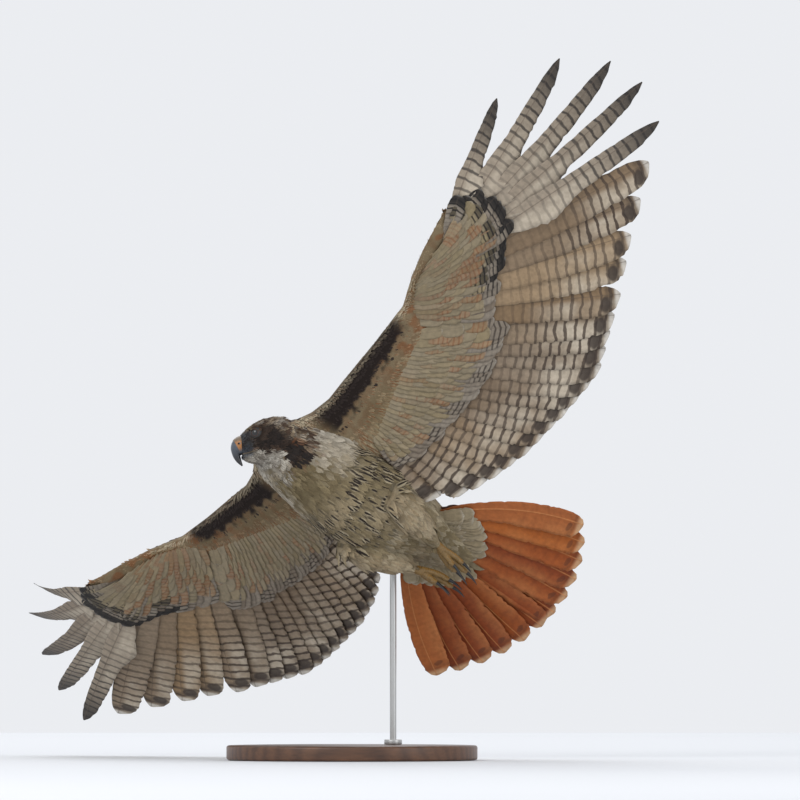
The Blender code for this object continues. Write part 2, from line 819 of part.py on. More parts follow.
def main():
    body_cutter = make_body_cutter()
    make_torso()
    make_neck()
    make_head()
    make_bills()
    make_tail()
    for side in (LEFT, RIGHT):
        make_eye(side)
        make_wing(side, body_cutter)
        make_leg(side, body_cutter)
        make_foot(side)
    make_stand(body_cutter)


main()
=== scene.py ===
import math

import bmesh
import bpy
import numpy as np
from mathutils import Matrix, Vector


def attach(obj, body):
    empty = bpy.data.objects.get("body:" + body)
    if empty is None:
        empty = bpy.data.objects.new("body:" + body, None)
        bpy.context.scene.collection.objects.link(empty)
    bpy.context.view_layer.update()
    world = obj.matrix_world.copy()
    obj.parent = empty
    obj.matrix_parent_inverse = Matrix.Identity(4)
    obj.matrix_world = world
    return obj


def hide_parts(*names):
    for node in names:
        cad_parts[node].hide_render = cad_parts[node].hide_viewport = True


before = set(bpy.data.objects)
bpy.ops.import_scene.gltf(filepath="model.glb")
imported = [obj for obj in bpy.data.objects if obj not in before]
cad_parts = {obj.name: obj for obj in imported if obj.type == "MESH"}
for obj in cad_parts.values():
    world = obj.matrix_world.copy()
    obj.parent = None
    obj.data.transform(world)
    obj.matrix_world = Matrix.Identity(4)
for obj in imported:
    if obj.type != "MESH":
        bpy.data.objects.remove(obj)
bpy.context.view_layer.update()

# The bird is laid out in its own frame, in centimetres: X forwards, Y to its left, Z to its back.
# This matrix then carries it into the bank over the stand.
flight = {"heading": 206.6, "climb": 26.6, "bank": 44.3, "shoulders": (-0.0765, -0.020, 0.390)}
toWorld = (
    Matrix.Translation(flight["shoulders"])
    @ Matrix.Rotation(math.radians(flight["heading"]), 4, "Z")
    @ Matrix.Rotation(-math.radians(flight["climb"]), 4, "Y")
    @ Matrix.Rotation(math.radians(flight["bank"]), 4, "X")
    @ Matrix.Scale(0.01, 4)
)
sides = {"left": 1, "right": -1}
dice = np.random.default_rng(5)


def linear(hexColour):
    parts = [int(hexColour[i:i + 2], 16) / 255 for i in (1, 3, 5)]
    return np.array([c / 12.92 if c <= 0.04045 else ((c + 0.055) / 1.055) ** 2.4 for c in parts])


def rgba(hexColour):
    return (*linear(hexColour), 1.0)


def deselect():
    if bpy.context.object and bpy.context.object.mode != "OBJECT":
        bpy.ops.object.mode_set(mode="OBJECT")
    bpy.ops.object.select_all(action="DESELECT")


def pick(*objects):
    deselect()
    for obj in objects:
        obj.select_set(True)
    bpy.context.view_layer.objects.active = objects[0]


def intoPlace(obj, matrix=toWorld):
    obj.data.transform(matrix)
    if matrix.to_3x3().determinant() < 0:
        obj.data.flip_normals()
    obj.data.update()


def smooth(obj, angle=60):
    pick(obj)
    bpy.ops.object.shade_smooth_by_angle(angle=math.radians(angle))


def setNode(tree, node, settings):
    # a setting is a value, the stops of a colour ramp, or a node or socket to link from
    for key, value in settings.items():
        if isinstance(value, bpy.types.Node):
            value = value.outputs[2 if getattr(value, "data_type", "") == "RGBA" else 0]
        if isinstance(value, bpy.types.NodeSocket):
            tree.links.new(value, node.inputs[key])
        elif key == "stops":
            for i, (at, tint) in enumerate(value):
                stop = node.color_ramp.elements[i] if i < 2 else node.color_ramp.elements.new(at)
                stop.position, stop.color = at, tint
        elif isinstance(key, str) and hasattr(node, key):
            setattr(node, key, value)
        else:
            node.inputs[key].default_value = value
    return node


def addNode(tree, kind, settings):
    return setNode(tree, tree.nodes.new("ShaderNode" + kind), settings)


def newMaterial(name, settings):
    made = bpy.data.materials.new(name)
    made.use_nodes = True
    tree = made.node_tree
    return made, tree, setNode(tree, tree.nodes["Principled BSDF"], settings)


def mottle(tree, shader, tint, noise, low, high, span=(0.3, 0.7)):
    # the noise darkens and lightens the tint on its way to the shader
    shade = addNode(tree, "MapRange", {0: noise, 1: span[0], 2: span[1], 3: low, 4: high})
    final = addNode(tree, "VectorMath", {"operation": "SCALE", 0: tint, "Scale": shade})
    setNode(tree, shader, {"Base Color": final})


def dress(obj, material, nodes=()):
    obj.data.materials.clear()
    obj.data.materials.append(material)
    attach(obj, "root")
    if nodes:
        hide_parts(*nodes)


# plumage colours, judged and named for where they grow
# these tones are set darker overall than the plumage's own, as painted shade
plumage = {
    "cream": "#b3a890", "buff": "#94856a", "olive": "#776a4e", "deepOlive": "#62553c", "white": "#c4beb2",
    "grey": "#857d70",
    "streak": "#241c17", "brown": "#46362a", "darkBrown": "#2b211b", "back": "#3f3129", "backEdge": "#7a644b",
    "crown": "#85745f", "cheek": "#1b1512", "lores": "#4a4b4d", "slate": "#454c55", "rufous": "#8d532b",
    "patagium": "#241b17", "ink": "#14100e",
    "vane": "#6b5b4b", "vanePale": "#c1b5a2", "vaneTan": "#94764f", "bar": "#40332a", "band": "#352b25",
    "fringe": "#cbc6bd", "finger": "#2a2624", "tail": "#8a3e16", "tailPale": "#bd7c48", "tailBright": "#bd6a22",
    "tailDeep": "#6b2e11", "tailBand": "#2e1d17", "tailTip": "#c9a57e",
}
colour = {name: linear(code) for name, code in plumage.items()}


def grain(points, size, seed=0):
    # soft blotches between 0 and 1, about size centimetres across
    total = np.zeros(len(points))
    turn = np.random.default_rng(seed)
    for octave in range(5):
        way = turn.normal(size=3)
        way *= 2 * math.pi / (size * turn.uniform(0.6, 1.6)) / np.linalg.norm(way)
        total += np.sin(points @ way + turn.uniform(0, 6.28))
    return 0.5 + 0.5 * np.tanh(total * 0.8)


def mix(a, b, share):
    share = np.clip(np.asarray(share, float), 0, 1)[..., None]
    return a * (1 - share) + b * share


def ramp(value, low, high):
    share = np.clip((value - low) / (high - low), 0, 1)
    return share * share * (3 - 2 * share)


# body plan, with the same named values as the solids
# rows of the body, and of the head in its own frame: x, height, half width, half depth
bodyRows = np.array([
    (3.4, -2.3, 2.7, 2.7), (2.8, -2.2, 3.55, 3.55), (1.8, -2.1, 4.25, 4.25), (0.5, -2.05, 4.75, 4.7),
    (-1.2, -2.2, 5.2, 5.0), (-3.5, -2.45, 5.75, 5.35), (-7.0, -2.8, 6.3, 5.8), (-11.0, -3.0, 6.5, 6.0),
    (-15.0, -2.9, 6.0, 5.5), (-18.4, -2.7, 5.1, 4.5), (-21.5, -2.7, 4.2, 3.4), (-24.5, -3.2, 3.3, 2.2),
    (-27.0, -3.9, 2.4, 1.2),
])
headPlace = Vector((3.66, 0.25, -2.41))
headRows = np.array([
    (-3.6, 0.0, 1.30, 1.40), (-3.1, 0.0, 2.20, 2.30), (-2.2, 0.0, 2.75, 2.85), (-1.0, 0.0, 2.95, 3.05),
    (0.4, 0.0, 2.85, 3.00), (1.6, -0.05, 2.50, 2.68), (2.6, -0.10, 1.95, 2.20), (3.42, -0.15, 1.30, 1.68),
])
eyePlace = (1.30, 1.85, 1.05)
eyeRadius = 0.78
# rows of the wing: span, leading edge, height, chord, thickness
wingRows = np.array([
    (4.0, 2.7, -1.1, 12.2, 1.35), (6.0, 1.3, -0.5, 11.2, 1.42), (8.5, 0.5, 0.2, 10.3, 1.40),
    (12.0, 0.4, 1.1, 9.4, 1.30), (17.0, 0.1, 2.5, 7.8, 1.15), (22.8, -0.3, 4.7, 5.6, 1.00),
    (27.0, 1.5, 5.0, 4.4, 0.85), (31.0, 2.8, 5.2, 3.3, 0.72), (34.8, 3.6, 5.7, 2.1, 0.55),
    (37.0, 3.9, 6.5, 1.1, 0.35),
])
# where the secondaries end: span, x, height
trailingEdge = np.array([
    (6.8, -18.0, -4.0), (9.6, -20.8, -3.5), (13.0, -22.4, -2.5), (18.0, -23.9, -1.1), (25.0, -24.8, 0.9),
    (30.5, -25.1, 2.5), (37.0, -22.4, 4.4),
])
primaryTips = [
    (-21.4, 39.6, 5.2), (-19.6, 43.2, 6.7), (-18.0, 46.3, 7.6), (-16.3, 50.5, 9.3), (-14.4, 54.8, 10.8),
    (-12.5, 59.5, 12.7), (-9.4, 60.4, 17.2), (-5.8, 58.9, 20.2), (-0.9, 55.0, 21.1), (3.6, 48.0, 17.1),
]
secondaries, primaries = 15, 10
quills = secondaries + primaries
# rows of the leg: x, y, height, radius
legRows = ((-11.5, 4.3, -6.0, 2.2), (-14.5, 4.1, -6.5, 2.6), (-17.5, 3.4, -6.9, 2.1), (-20.3, 2.5, -7.25, 1.05))


def along(rows, x):
    # one row of values at x, from rows sorted by their first value either way
    table = rows[np.argsort(rows[:, 0])]
    return [np.interp(x, table[:, 0], table[:, i]) for i in range(1, table.shape[1])]


def headAxes():
    back = toWorld.to_3x3().normalized().inverted()
    forward = (back @ Vector((-0.96, -0.12, -0.22))).normalized()
    left = (back @ Vector((-0.20, 0.20, 0.95))).cross(forward).normalized()
    return forward, left, forward.cross(left)


headTurn = Matrix(headAxes())
headForward = np.array(headTurn[0])
headToBird = Matrix.Translation(headPlace) @ headTurn.transposed().to_4x4()


# swept forms: a disc is added, then pushed out ring by ring in edit mode
def sweptForm(name, sections, around, matrix=None):
    # each section: x, y, z, half width, half depth, and its tilt about the width in degrees
    deselect()
    x, y, z, wide, deep, tilt = sections[0]
    bpy.ops.mesh.primitive_circle_add(vertices=around, radius=1, fill_type="NGON", rotation=(0, math.pi / 2, 0))
    obj = bpy.context.object
    obj.name = name
    bpy.ops.object.transform_apply(location=True, rotation=True, scale=True)
    bpy.ops.object.mode_set(mode="EDIT")
    bpy.ops.mesh.select_all(action="SELECT")
    bpy.ops.transform.resize(value=(1, wide, deep), center_override=(0, 0, 0))
    turnRing(tilt, (0, 0, 0))
    bpy.ops.transform.translate(value=(x, y, z))
    for section in sections[1:]:
        step = (section[0] - x, section[1] - y, section[2] - z)
        bpy.ops.mesh.extrude_region_move(TRANSFORM_OT_translate={"value": step})
        x, y, z = section[:3]
        turnRing(-tilt, (x, y, z))
        bpy.ops.transform.resize(value=(1, section[3] / wide, section[4] / deep), center_override=(x, y, z))
        wide, deep, tilt = section[3:]
        turnRing(tilt, (x, y, z))
    bpy.ops.mesh.select_all(action="SELECT")
    bpy.ops.mesh.normals_make_consistent(inside=False)
    bpy.ops.object.mode_set(mode="OBJECT")
    if matrix is not None:
        intoPlace(obj, matrix)
    return obj


def turnRing(tilt, centre):
    # without a window this operator turns the other way, so the angle is negative
    if tilt:
        bpy.ops.transform.rotate(value=-math.radians(tilt), orient_axis="Y", center_override=centre)


def applyModifier(obj, kind, **settings):
    pick(obj)
    modifier = obj.modifiers.new("shape", kind)
    for key, value in settings.items():
        setattr(modifier, key, value)
    bpy.ops.object.modifier_apply(modifier=modifier.name)


# wing plan: every flight feather's shaft is a curve from its root in the flesh to its tip
def blendBetween(values, k):
    low = max(0, min(len(values) - 2, math.floor(k)))
    return values[low] + (values[low + 1] - values[low]) * (k - low)


rootSpans = list(np.linspace(7.6, 21.1, secondaries)) + list(np.linspace(24.0, 34.4, primaries))
featherTips = []
for k in range(secondaries):
    span = 6.8 + 30.2 * (k / (secondaries - 1)) ** 0.95
    x, height = along(trailingEdge, span)
    featherTips.append(Vector((x, span, height)))
featherTips += [Vector(tip) for tip in primaryTips]


def quillPoint(k, t):
    span = blendBetween(rootSpans, k)
    x, height, chord, thick = along(wingRows, span)
    root = Vector((x - chord * 0.80, span, height - chord * 0.07))
    tip = blendBetween(featherTips, k)
    outer = max(0, min(1, (k - secondaries) / (primaries - 1)))
    hand = max(0, min(1, k - secondaries + 1))
    control = root.lerp(tip, 0.52) + Vector((hand * (0.5 + 1.3 * outer), 0.5 * (1 - hand), 0.5 * (1 - hand)))
    control.z += hand * (root.z + (tip.z - root.z) * (0.45 - 0.35 * outer) - control.z)
    return root * (1 - t) ** 2 + control * (2 * t * (1 - t)) + tip * t ** 2


def quillNormal(k, t):
    ahead = quillPoint(k, t + 0.02) - quillPoint(k, t - 0.02)
    across = quillPoint(k + 0.5, t) - quillPoint(k - 0.5, t)
    normal = ahead.cross(across).normalized()
    if normal.z < 0:
        normal.negate()
    level = max(0, min(1, (k - quills + 6) / 2)) * max(0, min(1, (t - 0.30) / 0.3))
    return normal.lerp(Vector((0.04, -0.18, 1)).normalized(), level)


# mesh from arrays, for the feathers
def meshFromArrays(name, points, faces, maps, tints):
    mesh = bpy.data.meshes.new(name)
    mesh.vertices.add(len(points))
    mesh.vertices.foreach_set("co", np.asarray(points, np.float32).ravel())
    mesh.loops.add(faces.size)
    mesh.loops.foreach_set("vertex_index", faces.astype(np.int32).ravel())
    mesh.polygons.add(len(faces))
    mesh.polygons.foreach_set("loop_start", np.arange(len(faces), dtype=np.int32) * faces.shape[1])
    mesh.update(calc_edges=True)
    corners = faces.ravel()
    for mapName, uv in maps.items():
        layer = mesh.uv_layers.new(name=mapName)
        layer.uv.foreach_set("vector", np.asarray(uv, np.float32)[corners].ravel())
    for tintName, values in tints.items():
        layer = mesh.attributes.new(tintName, "FLOAT_COLOR", "POINT")
        layer.data.foreach_set("color", np.asarray(values, np.float32).ravel())
    mesh.transform(toWorld)
    mesh.polygons.foreach_set("use_smooth", np.ones(len(faces), bool))
    mesh.update()
    obj = bpy.data.objects.new(name, mesh)
    bpy.context.scene.collection.objects.link(obj)
    return obj


vaneShapes = {
    # share of the length, outer web, inner web, as shares of the full width
    "blade": ((0, .06, .06), (.08, .14, .22), (.20, .24, .42), (.40, .30, .58), (.60, .33, .66), (.80, .32, .64),
              (.92, .27, .54), (.975, .17, .36), (1, .03, .05)),
    "finger": ((0, .05, .05), (.10, .08, .09), (.20, .10, .13), (.27, .14, .22), (.34, .21, .42), (.42, .25, .60),
               (.44, .26, .68), (.52, .22, .54), (.60, .18, .40), (.75, .17, .36), (.90, .14, .27),
               (.97, .08, .14),
               (1, .01, .02)),
    "covert": ((0, .10, .10), (.20, .26, .36), (.45, .36, .50), (.70, .40, .54), (.86, .36, .48), (.96, .22, .30),
               (1, .03, .04)),
    "rectrix": ((0, .06, .06), (.20, .22, .38), (.55, .32, .62), (.80, .35, .65), (.93, .31, .58),
                (.985, .18, .36),
                (1, .04, .06)),
}
vanePlan = {
    "steps": (-1, -.8, -.55, -.3, -.07, 0, .07, .3, .55, .8, 1),  # across both webs, the shaft at 0
    "closer": 0.92,  # rows stand closer together towards the tip
    "tilt": 0.10, "bow": 0.06,  # each vane leans over its neighbour, and its webs droop from the shaft
    "sweep": 0.16,  # the barbs lean towards the tip
    "nicked": 0.35, "rough": 0.02, "thinner": 0.6, "variety": 0.10,
}
# centimetres to one unit of the feathers' own map, on which the shaft is at 0.5 and the tip at 0
vaneUnit = {"across": 10, "along": 40}


def unit(vectors):
    return vectors / np.linalg.norm(vectors, axis=-1)[..., None]


def vaneSheet(shape, line, normals, width, side, form, plain, mark, slot):
    # a closed vane: two sheets with a raised shaft between their webs, and an edge nicked between the barbs
    ridge, thick, fray = form
    table = np.array(vaneShapes[shape])
    shares = np.linspace(0, 1, len(line)) ** vanePlan["closer"]
    outerWidth = np.interp(shares, table[:, 0], table[:, 1]) * width
    innerWidth = np.interp(shares, table[:, 0], table[:, 2]) * width
    line, normals = np.array(line), np.array(normals)
    length = np.concatenate([[0], np.cumsum(np.linalg.norm(np.diff(line, axis=0), axis=1))])
    ahead = unit(np.gradient(line, axis=0))
    normals = unit(normals - ahead * (normals * ahead).sum(1)[:, None])
    slope = unit(np.cross(normals, ahead) - normals * vanePlan["tilt"])
    steps = np.array(vanePlan["steps"])
    torn = dice.random((len(line), 2)) * (dice.random((len(line), 2)) < vanePlan["nicked"])
    nicks = 1 - fray * torn - vanePlan["rough"] * dice.random((len(line), 2))
    nicks[:3] = 1
    reach = np.where(steps < 0, (outerWidth * nicks[:, 0])[:, None], (innerWidth * nicks[:, 1])[:, None]) * steps
    bow = vanePlan["bow"] * (reach / max(width, 0.1)) ** 2 * width
    sweep = vanePlan["sweep"] * np.abs(reach)
    sweep *= ramp(shares, 0.02, 0.3)[:, None] * (1 - ramp(shares, 0.9, 1.0))[:, None]
    middle = line[:, None] + slope[:, None] * reach[..., None] - normals[:, None] * bow[..., None]
    middle = middle + ahead[:, None] * sweep[..., None]
    half = np.full(len(steps), thick / 2)
    half[steps == 0] += ridge
    half = half[None] * (1 - vanePlan["thinner"] * shares[:, None])
    top = middle + normals[:, None] * half[..., None]
    bottom = middle - normals[:, None] * half[..., None]
    points = np.concatenate([top.reshape(-1, 3), bottom.reshape(-1, 3)])
    points[:, 1] *= side
    # faces: upper sheet, lower sheet, and a wall round the rim
    count = reach.size
    index = np.arange(count).reshape(reach.shape)
    a, b, c, d = index[:-1, :-1], index[:-1, 1:], index[1:, 1:], index[1:, :-1]
    sheet = np.stack([a, d, c, b], -1).reshape(-1, 4)
    under = np.stack([a, b, c, d], -1).reshape(-1, 4) + count
    rim = np.concatenate([index[0], index[1:, -1], index[-1, -2::-1], index[-2:0:-1, 0]])
    other = np.roll(rim, -1)
    wall = np.stack([rim, other, other + count, rim + count], -1)
    faces = np.concatenate([sheet, under, wall])
    if side > 0:
        faces = faces[:, ::-1]
    # maps: the feather's own, and its place on the bake map with the upper sheet beside the lower one
    fromTip = (length[-1] - length)[:, None] - sweep
    vane = np.stack([reach / vaneUnit["across"] + 0.5, fromTip / vaneUnit["along"]], -1).reshape(-1, 2)
    low, high = slot
    strip = np.stack(np.broadcast_arrays(steps[None] * 0.46 + 0.5, 0.02 + 0.96 * shares[:, None]), -1)
    strip = low + (high - low) * strip.reshape(-1, 2) * (0.5, 1)
    strip = np.concatenate([strip, strip + ((high[0] - low[0]) / 2, 0)])
    # tints: plain colour above and below, with 1 in alpha above; the marks' colour, with their strength in alpha
    shade = 1 + vanePlan["variety"] * (dice.random() - 0.5)
    plainTint = np.column_stack([np.repeat(plain, count, 0) * shade, np.repeat((1.0, 0.0), count)])
    markTint = np.tile((*mark[0], mark[1]), (count * 2, 1))
    return points, faces, np.concatenate([vane, vane]), strip, plainTint, markTint


def joinVanes(name, vanes, material):
    start, shifted = 0, []
    for points, faces, *rest in vanes:
        shifted.append((points, faces + start, *rest))
        start += len(points)
    points, faces, vane, strip, plain, mark = [np.concatenate(group) for group in zip(*shifted)]
    obj = meshFromArrays(name, points, faces, {"vane": vane, "OFBake": strip}, {"plain": plain, "mark": mark})
    dress(obj, material)
    print(name, len(faces) * 2, "triangles")


def strips(count, rows=1):
    # places of the vanes side by side on the bake map
    perRow = math.ceil(count / rows)
    for i in range(count):
        column, row = i % perRow, i // perRow
        yield (np.array((column / perRow + 0.001, row / rows + 0.004)),
               np.array(((column + 1) / perRow - 0.001, (row + 1) / rows - 0.004)))


# finishes
smoothStep = {"interpolation_type": "SMOOTHSTEP"}
# barbs run out from the shaft towards the tip; real ones are 0.3 mm apart, drawn coarser so that they show
barbs = {"spacing": 0.11, "lean": 0.7, "strength": 0.35, "height": 0.0002}


def vaneAxes(tree):
    # the feather's own map, as its two axes and the distance from the shaft
    uv = addNode(tree, "UVMap", {"uv_map": "vane"})
    split = addNode(tree, "SeparateXYZ", {0: uv})
    centred = addNode(tree, "Math", {"operation": "SUBTRACT", 0: split, 1: 0.5})
    away = addNode(tree, "Math", {"operation": "ABSOLUTE", 0: centred})
    return centred, away, split.outputs[1]


def barbBump(tree, shader, path, repeats, strength):
    phase = addNode(tree, "Math", {"operation": "MULTIPLY", 0: path, 1: 2 * math.pi * repeats})
    wave = addNode(tree, "Math", {"operation": "SINE", 0: phase})
    bump = addNode(tree, "Bump", {"Strength": strength, "Distance": barbs["height"], "Height": wave})
    setNode(tree, shader, {"Normal": bump})


def flightFinish(name, look):
    # flight feather: matt keratin vane, barred across, with a dark band and a pale fringe near its tip
    made, tree, shader = newMaterial(name, {"Roughness": 0.68, "Specular IOR Level": 0.3, "IOR": 1.54})
    centred, away, down = vaneAxes(tree)
    depth = addNode(tree, "Math", {"operation": "MULTIPLY", 0: down, 1: vaneUnit["along"]})
    barb = addNode(tree, "Math", {"operation": "MULTIPLY_ADD", 0: away, 1: vaneUnit["across"] * barbs["lean"],
                                  2: depth})
    barbBump(tree, shader, barb, 1 / barbs["spacing"], barbs["strength"])
    plain = addNode(tree, "Attribute", {"attribute_name": "plain"})
    mark = addNode(tree, "Attribute", {"attribute_name": "mark"})
    place = addNode(tree, "TexCoord", {}).outputs["Object"]
    wobble = addNode(tree, "TexNoise", {"Scale": 60.0, "Detail": 3.0, "Vector": place})
    # the inner web is paler from below, in patches; on the wing these patches are partly its own pale colour and
    # partly painted light shining through the vane
    web = addNode(tree, "MapRange", {**smoothStep, 0: centred, 1: look["webFrom"], 2: look["webTo"]})
    below = addNode(tree, "Math", {"operation": "SUBTRACT", 0: 1.0, 1: plain.outputs["Alpha"]})
    webBelow = addNode(tree, "Math", {"operation": "MULTIPLY", 0: web, 1: below})
    zone = addNode(tree, "MapRange", {**smoothStep, 0: depth, 1: look["paleFrom"], 2: look["paleTo"]})
    webShare = addNode(tree, "Math", {"operation": "MULTIPLY", 0: webBelow, 1: zone})
    paleWebAndShine = addNode(tree, "TexNoise", {"Scale": 21.0, "Detail": 2.0, "Vector": place})
    patches = addNode(tree, "MapRange", {**smoothStep, 0: paleWebAndShine, 1: 0.36, 2: 0.66,
                                         3: 0.25 * look["pale"], 4: look["pale"]})
    webSome = addNode(tree, "Math", {"operation": "MULTIPLY", 0: webShare, 1: patches})
    tint = addNode(tree, "Mix", {"data_type": "RGBA", 0: webSome, 6: plain, 7: rgba(look["paleColour"])})
    # bars, with a wobble so that no two run alike
    lean = addNode(tree, "Math", {"operation": "MULTIPLY_ADD", 0: away, 1: look["chevron"], 2: depth})
    shift = addNode(tree, "Math", {"operation": "MULTIPLY_ADD", 0: wobble, 1: look["wobble"], 2: lean})
    phase = addNode(tree, "Math", {"operation": "MULTIPLY", 0: shift, 1: 2 * math.pi / look["spacing"]})
    wave = addNode(tree, "Math", {"operation": "SINE", 0: phase})
    bars = addNode(tree, "MapRange", {**smoothStep, 0: wave, 1: look["barFrom"], 2: look["barTo"]})
    zone = addNode(tree, "MapRange", {**smoothStep, 0: depth, 1: look["barZone"][0], 2: look["barZone"][1],
                                      3: 0.22})
    barsHere = addNode(tree, "Math", {"operation": "MULTIPLY", 0: bars, 1: zone})
    barsSome = addNode(tree, "Math", {"operation": "MULTIPLY", 0: barsHere, 1: mark.outputs["Alpha"]})
    tint = addNode(tree, "Mix", {"data_type": "RGBA", 0: barsSome, 6: tint, 7: mark})
    # band before the tip
    scaled = addNode(tree, "Math", {"operation": "MULTIPLY", 0: shift, 1: 1 / look["bandReach"]})
    band = addNode(tree, "ValToRGB", {0: scaled, "stops": [(at, (f, f, f, 1)) for at, f in look["band"]]})
    tint = addNode(tree, "Mix", {"data_type": "RGBA", 0: band, 6: tint, 7: rgba(look["bandColour"])})
    if look["blob"]:
        # a round dark spot on the inner web before the tip
        acrossAt, depthAt = look["blobPlace"]
        wide, deep = look["blobSize"]
        sideways = addNode(tree, "Math", {"operation": "MULTIPLY_ADD", 0: centred,
                                          1: vaneUnit["across"] / wide, 2: -acrossAt / wide})
        endways = addNode(tree, "Math", {"operation": "MULTIPLY_ADD", 0: shift,
                                         1: 1 / deep, 2: -(depthAt + 0.5 * look["wobble"]) / deep})
        square = addNode(tree, "Math", {"operation": "MULTIPLY", 0: sideways, 1: sideways})
        spread = addNode(tree, "Math", {"operation": "MULTIPLY_ADD", 0: endways, 1: endways, 2: square})
        spot = addNode(tree, "MapRange", {**smoothStep, 0: spread, 1: 0.6, 2: 1.5, 3: look["blob"], 4: 0.0})
        tint = addNode(tree, "Mix", {"data_type": "RGBA", 0: spot, 6: tint, 7: rgba(look["bandColour"])})
    if look["commaTip"]:
        # black end, only where the marks are at full strength
        strong = addNode(tree, "MapRange", {**smoothStep, 0: mark.outputs["Alpha"], 1: 0.80, 2: 1.0,
                                            4: look["commaTip"]})
        ending = addNode(tree, "MapRange", {**smoothStep, 0: shift, 1: 1.1, 2: 1.9, 3: 1.0, 4: 0.0})
        share = addNode(tree, "Math", {"operation": "MULTIPLY", 0: strong, 1: ending})
        tint = addNode(tree, "Mix", {"data_type": "RGBA", 0: share, 6: tint, 7: rgba(plumage["ink"])})
    # pale fringe along the tip, and the shaft
    near, far, most = look["fringe"]
    tip = addNode(tree, "MapRange", {**smoothStep, 0: depth, 1: near, 2: far, 3: most, 4: 0.0})
    tint = addNode(tree, "Mix", {"data_type": "RGBA", 0: tip, 6: tint, 7: rgba(look["fringeColour"])})
    shaft = addNode(tree, "MapRange", {**smoothStep, 0: away, 1: 0.004, 2: 0.010, 3: look["shaft"], 4: 0.0})
    tint = addNode(tree, "Mix", {"data_type": "RGBA", 0: shaft, 6: tint, 7: rgba(look["shaftColour"])})
    blotch = addNode(tree, "TexNoise", {"Scale": 190.0, "Detail": 4.0, "Vector": place})
    mottle(tree, shader, tint, blotch, 0.84, 1.12)
    return made


def tuftFinish(name, roughness, strength):
    # contour feather: soft matt keratin, darker at its root as painted shade under its neighbours, with a dark
    # streak along its shaft
    made, tree, shader = newMaterial(name, {"Roughness": roughness, "Specular IOR Level": 0.25, "IOR": 1.54})
    away, onward = vaneAxes(tree)[1:]
    plain = addNode(tree, "Attribute", {"attribute_name": "plain"})
    mark = addNode(tree, "Attribute", {"attribute_name": "mark"})
    place = addNode(tree, "TexCoord", {}).outputs["Object"]
    fine = addNode(tree, "TexNoise", {"Scale": 700.0, "Detail": 2.0, "Vector": place})
    loose = addNode(tree, "Math", {"operation": "MULTIPLY_ADD", 0: fine, 1: 0.10, 2: away})
    streak = addNode(tree, "MapRange", {**smoothStep, 0: loose, 1: 0.15, 2: 0.30, 3: 1.0, 4: 0.0})
    late = addNode(tree, "MapRange", {**smoothStep, 0: onward, 1: 0.15, 2: 0.45})
    streaked = addNode(tree, "Math", {"operation": "MULTIPLY", 0: streak, 1: late})
    share = addNode(tree, "Math", {"operation": "MULTIPLY", 0: streaked, 1: mark.outputs["Alpha"]})
    marked = addNode(tree, "Mix", {"data_type": "RGBA", 0: share, 6: plain, 7: mark})
    # painted shade: the feather darkens towards its root, under its neighbours, and lightens towards its tip
    paintedRootShade = addNode(tree, "MapRange", {**smoothStep, 0: onward, 1: 0.0, 2: 0.8, 3: 0.62, 4: 1.08})
    shaded = addNode(tree, "VectorMath", {"operation": "SCALE", 0: marked, "Scale": paintedRootShade})
    mottle(tree, shader, shaded, fine, 0.86, 1.12)
    barb = addNode(tree, "Math", {"operation": "MULTIPLY_ADD", 0: away, 1: -barbs["lean"], 2: onward})
    barbBump(tree, shader, barb, 14, strength)
    return made


# Looks of the flight feathers, in centimetres from the tip and from the shaft. A pair that runs backwards fades
# the other way round. The band's stops are shares of its reach.
wingLook = {
    # on the wing the pale inner web below is partly painted light shining through the vane
    "webFrom": 0.005, "webTo": 0.10, "paleFrom": 13.0, "paleTo": 4.5, "pale": 0.80,
    "paleColour": plumage["vanePale"],
    "chevron": -1.6, "wobble": 0.85, "spacing": 1.22, "barFrom": 0.35, "barTo": 0.80, "barZone": (17.0, 7.0),
    "blob": 0.88, "blobPlace": (1.15, 1.75), "blobSize": (1.0, 0.62), "commaTip": 0.0,
    "bandReach": 8.0, "band": ((0.0, 0.0), (0.11, 0.0), (0.15, 0.45), (0.24, 0.45), (0.29, 0.0)),
    "bandColour": plumage["band"], "fringe": (0.45, 0.95, 0.80), "fringeColour": plumage["fringe"],
    "shaft": 0.45, "shaftColour": "#584b3f",
}
fingerLook = dict(wingLook, webFrom=0.0, webTo=0.08, paleFrom=7.0, paleTo=12.0, pale=0.65, spacing=1.25,
                  barFrom=0.35, barTo=0.95, wobble=0.8, barZone=(22.0, 8.0), blob=0.0, bandReach=14.0,
                  band=((0.0, 0.95), (0.22, 0.85), (0.40, 0.45), (0.66, 0.08), (1.0, 0.0)),
                  fringe=(0.0, 0.2, 0.0), bandColour=plumage["finger"])
covertLook = dict(wingLook, webFrom=0.0, webTo=0.3, pale=0.0, spacing=0.62, barFrom=0.15, barTo=0.75, wobble=0.5,
                  chevron=-3.0, barZone=(3.4, 1.6), blob=0.0, commaTip=0.95, band=((0.0, 0.0), (0.3, 0.0)),
                  fringe=(0.0, 0.30, 0.25), shaft=0.2)
softLook = dict(covertLook, commaTip=0.0, fringe=(0.0, 0.5, 0.3), shaft=0.12)
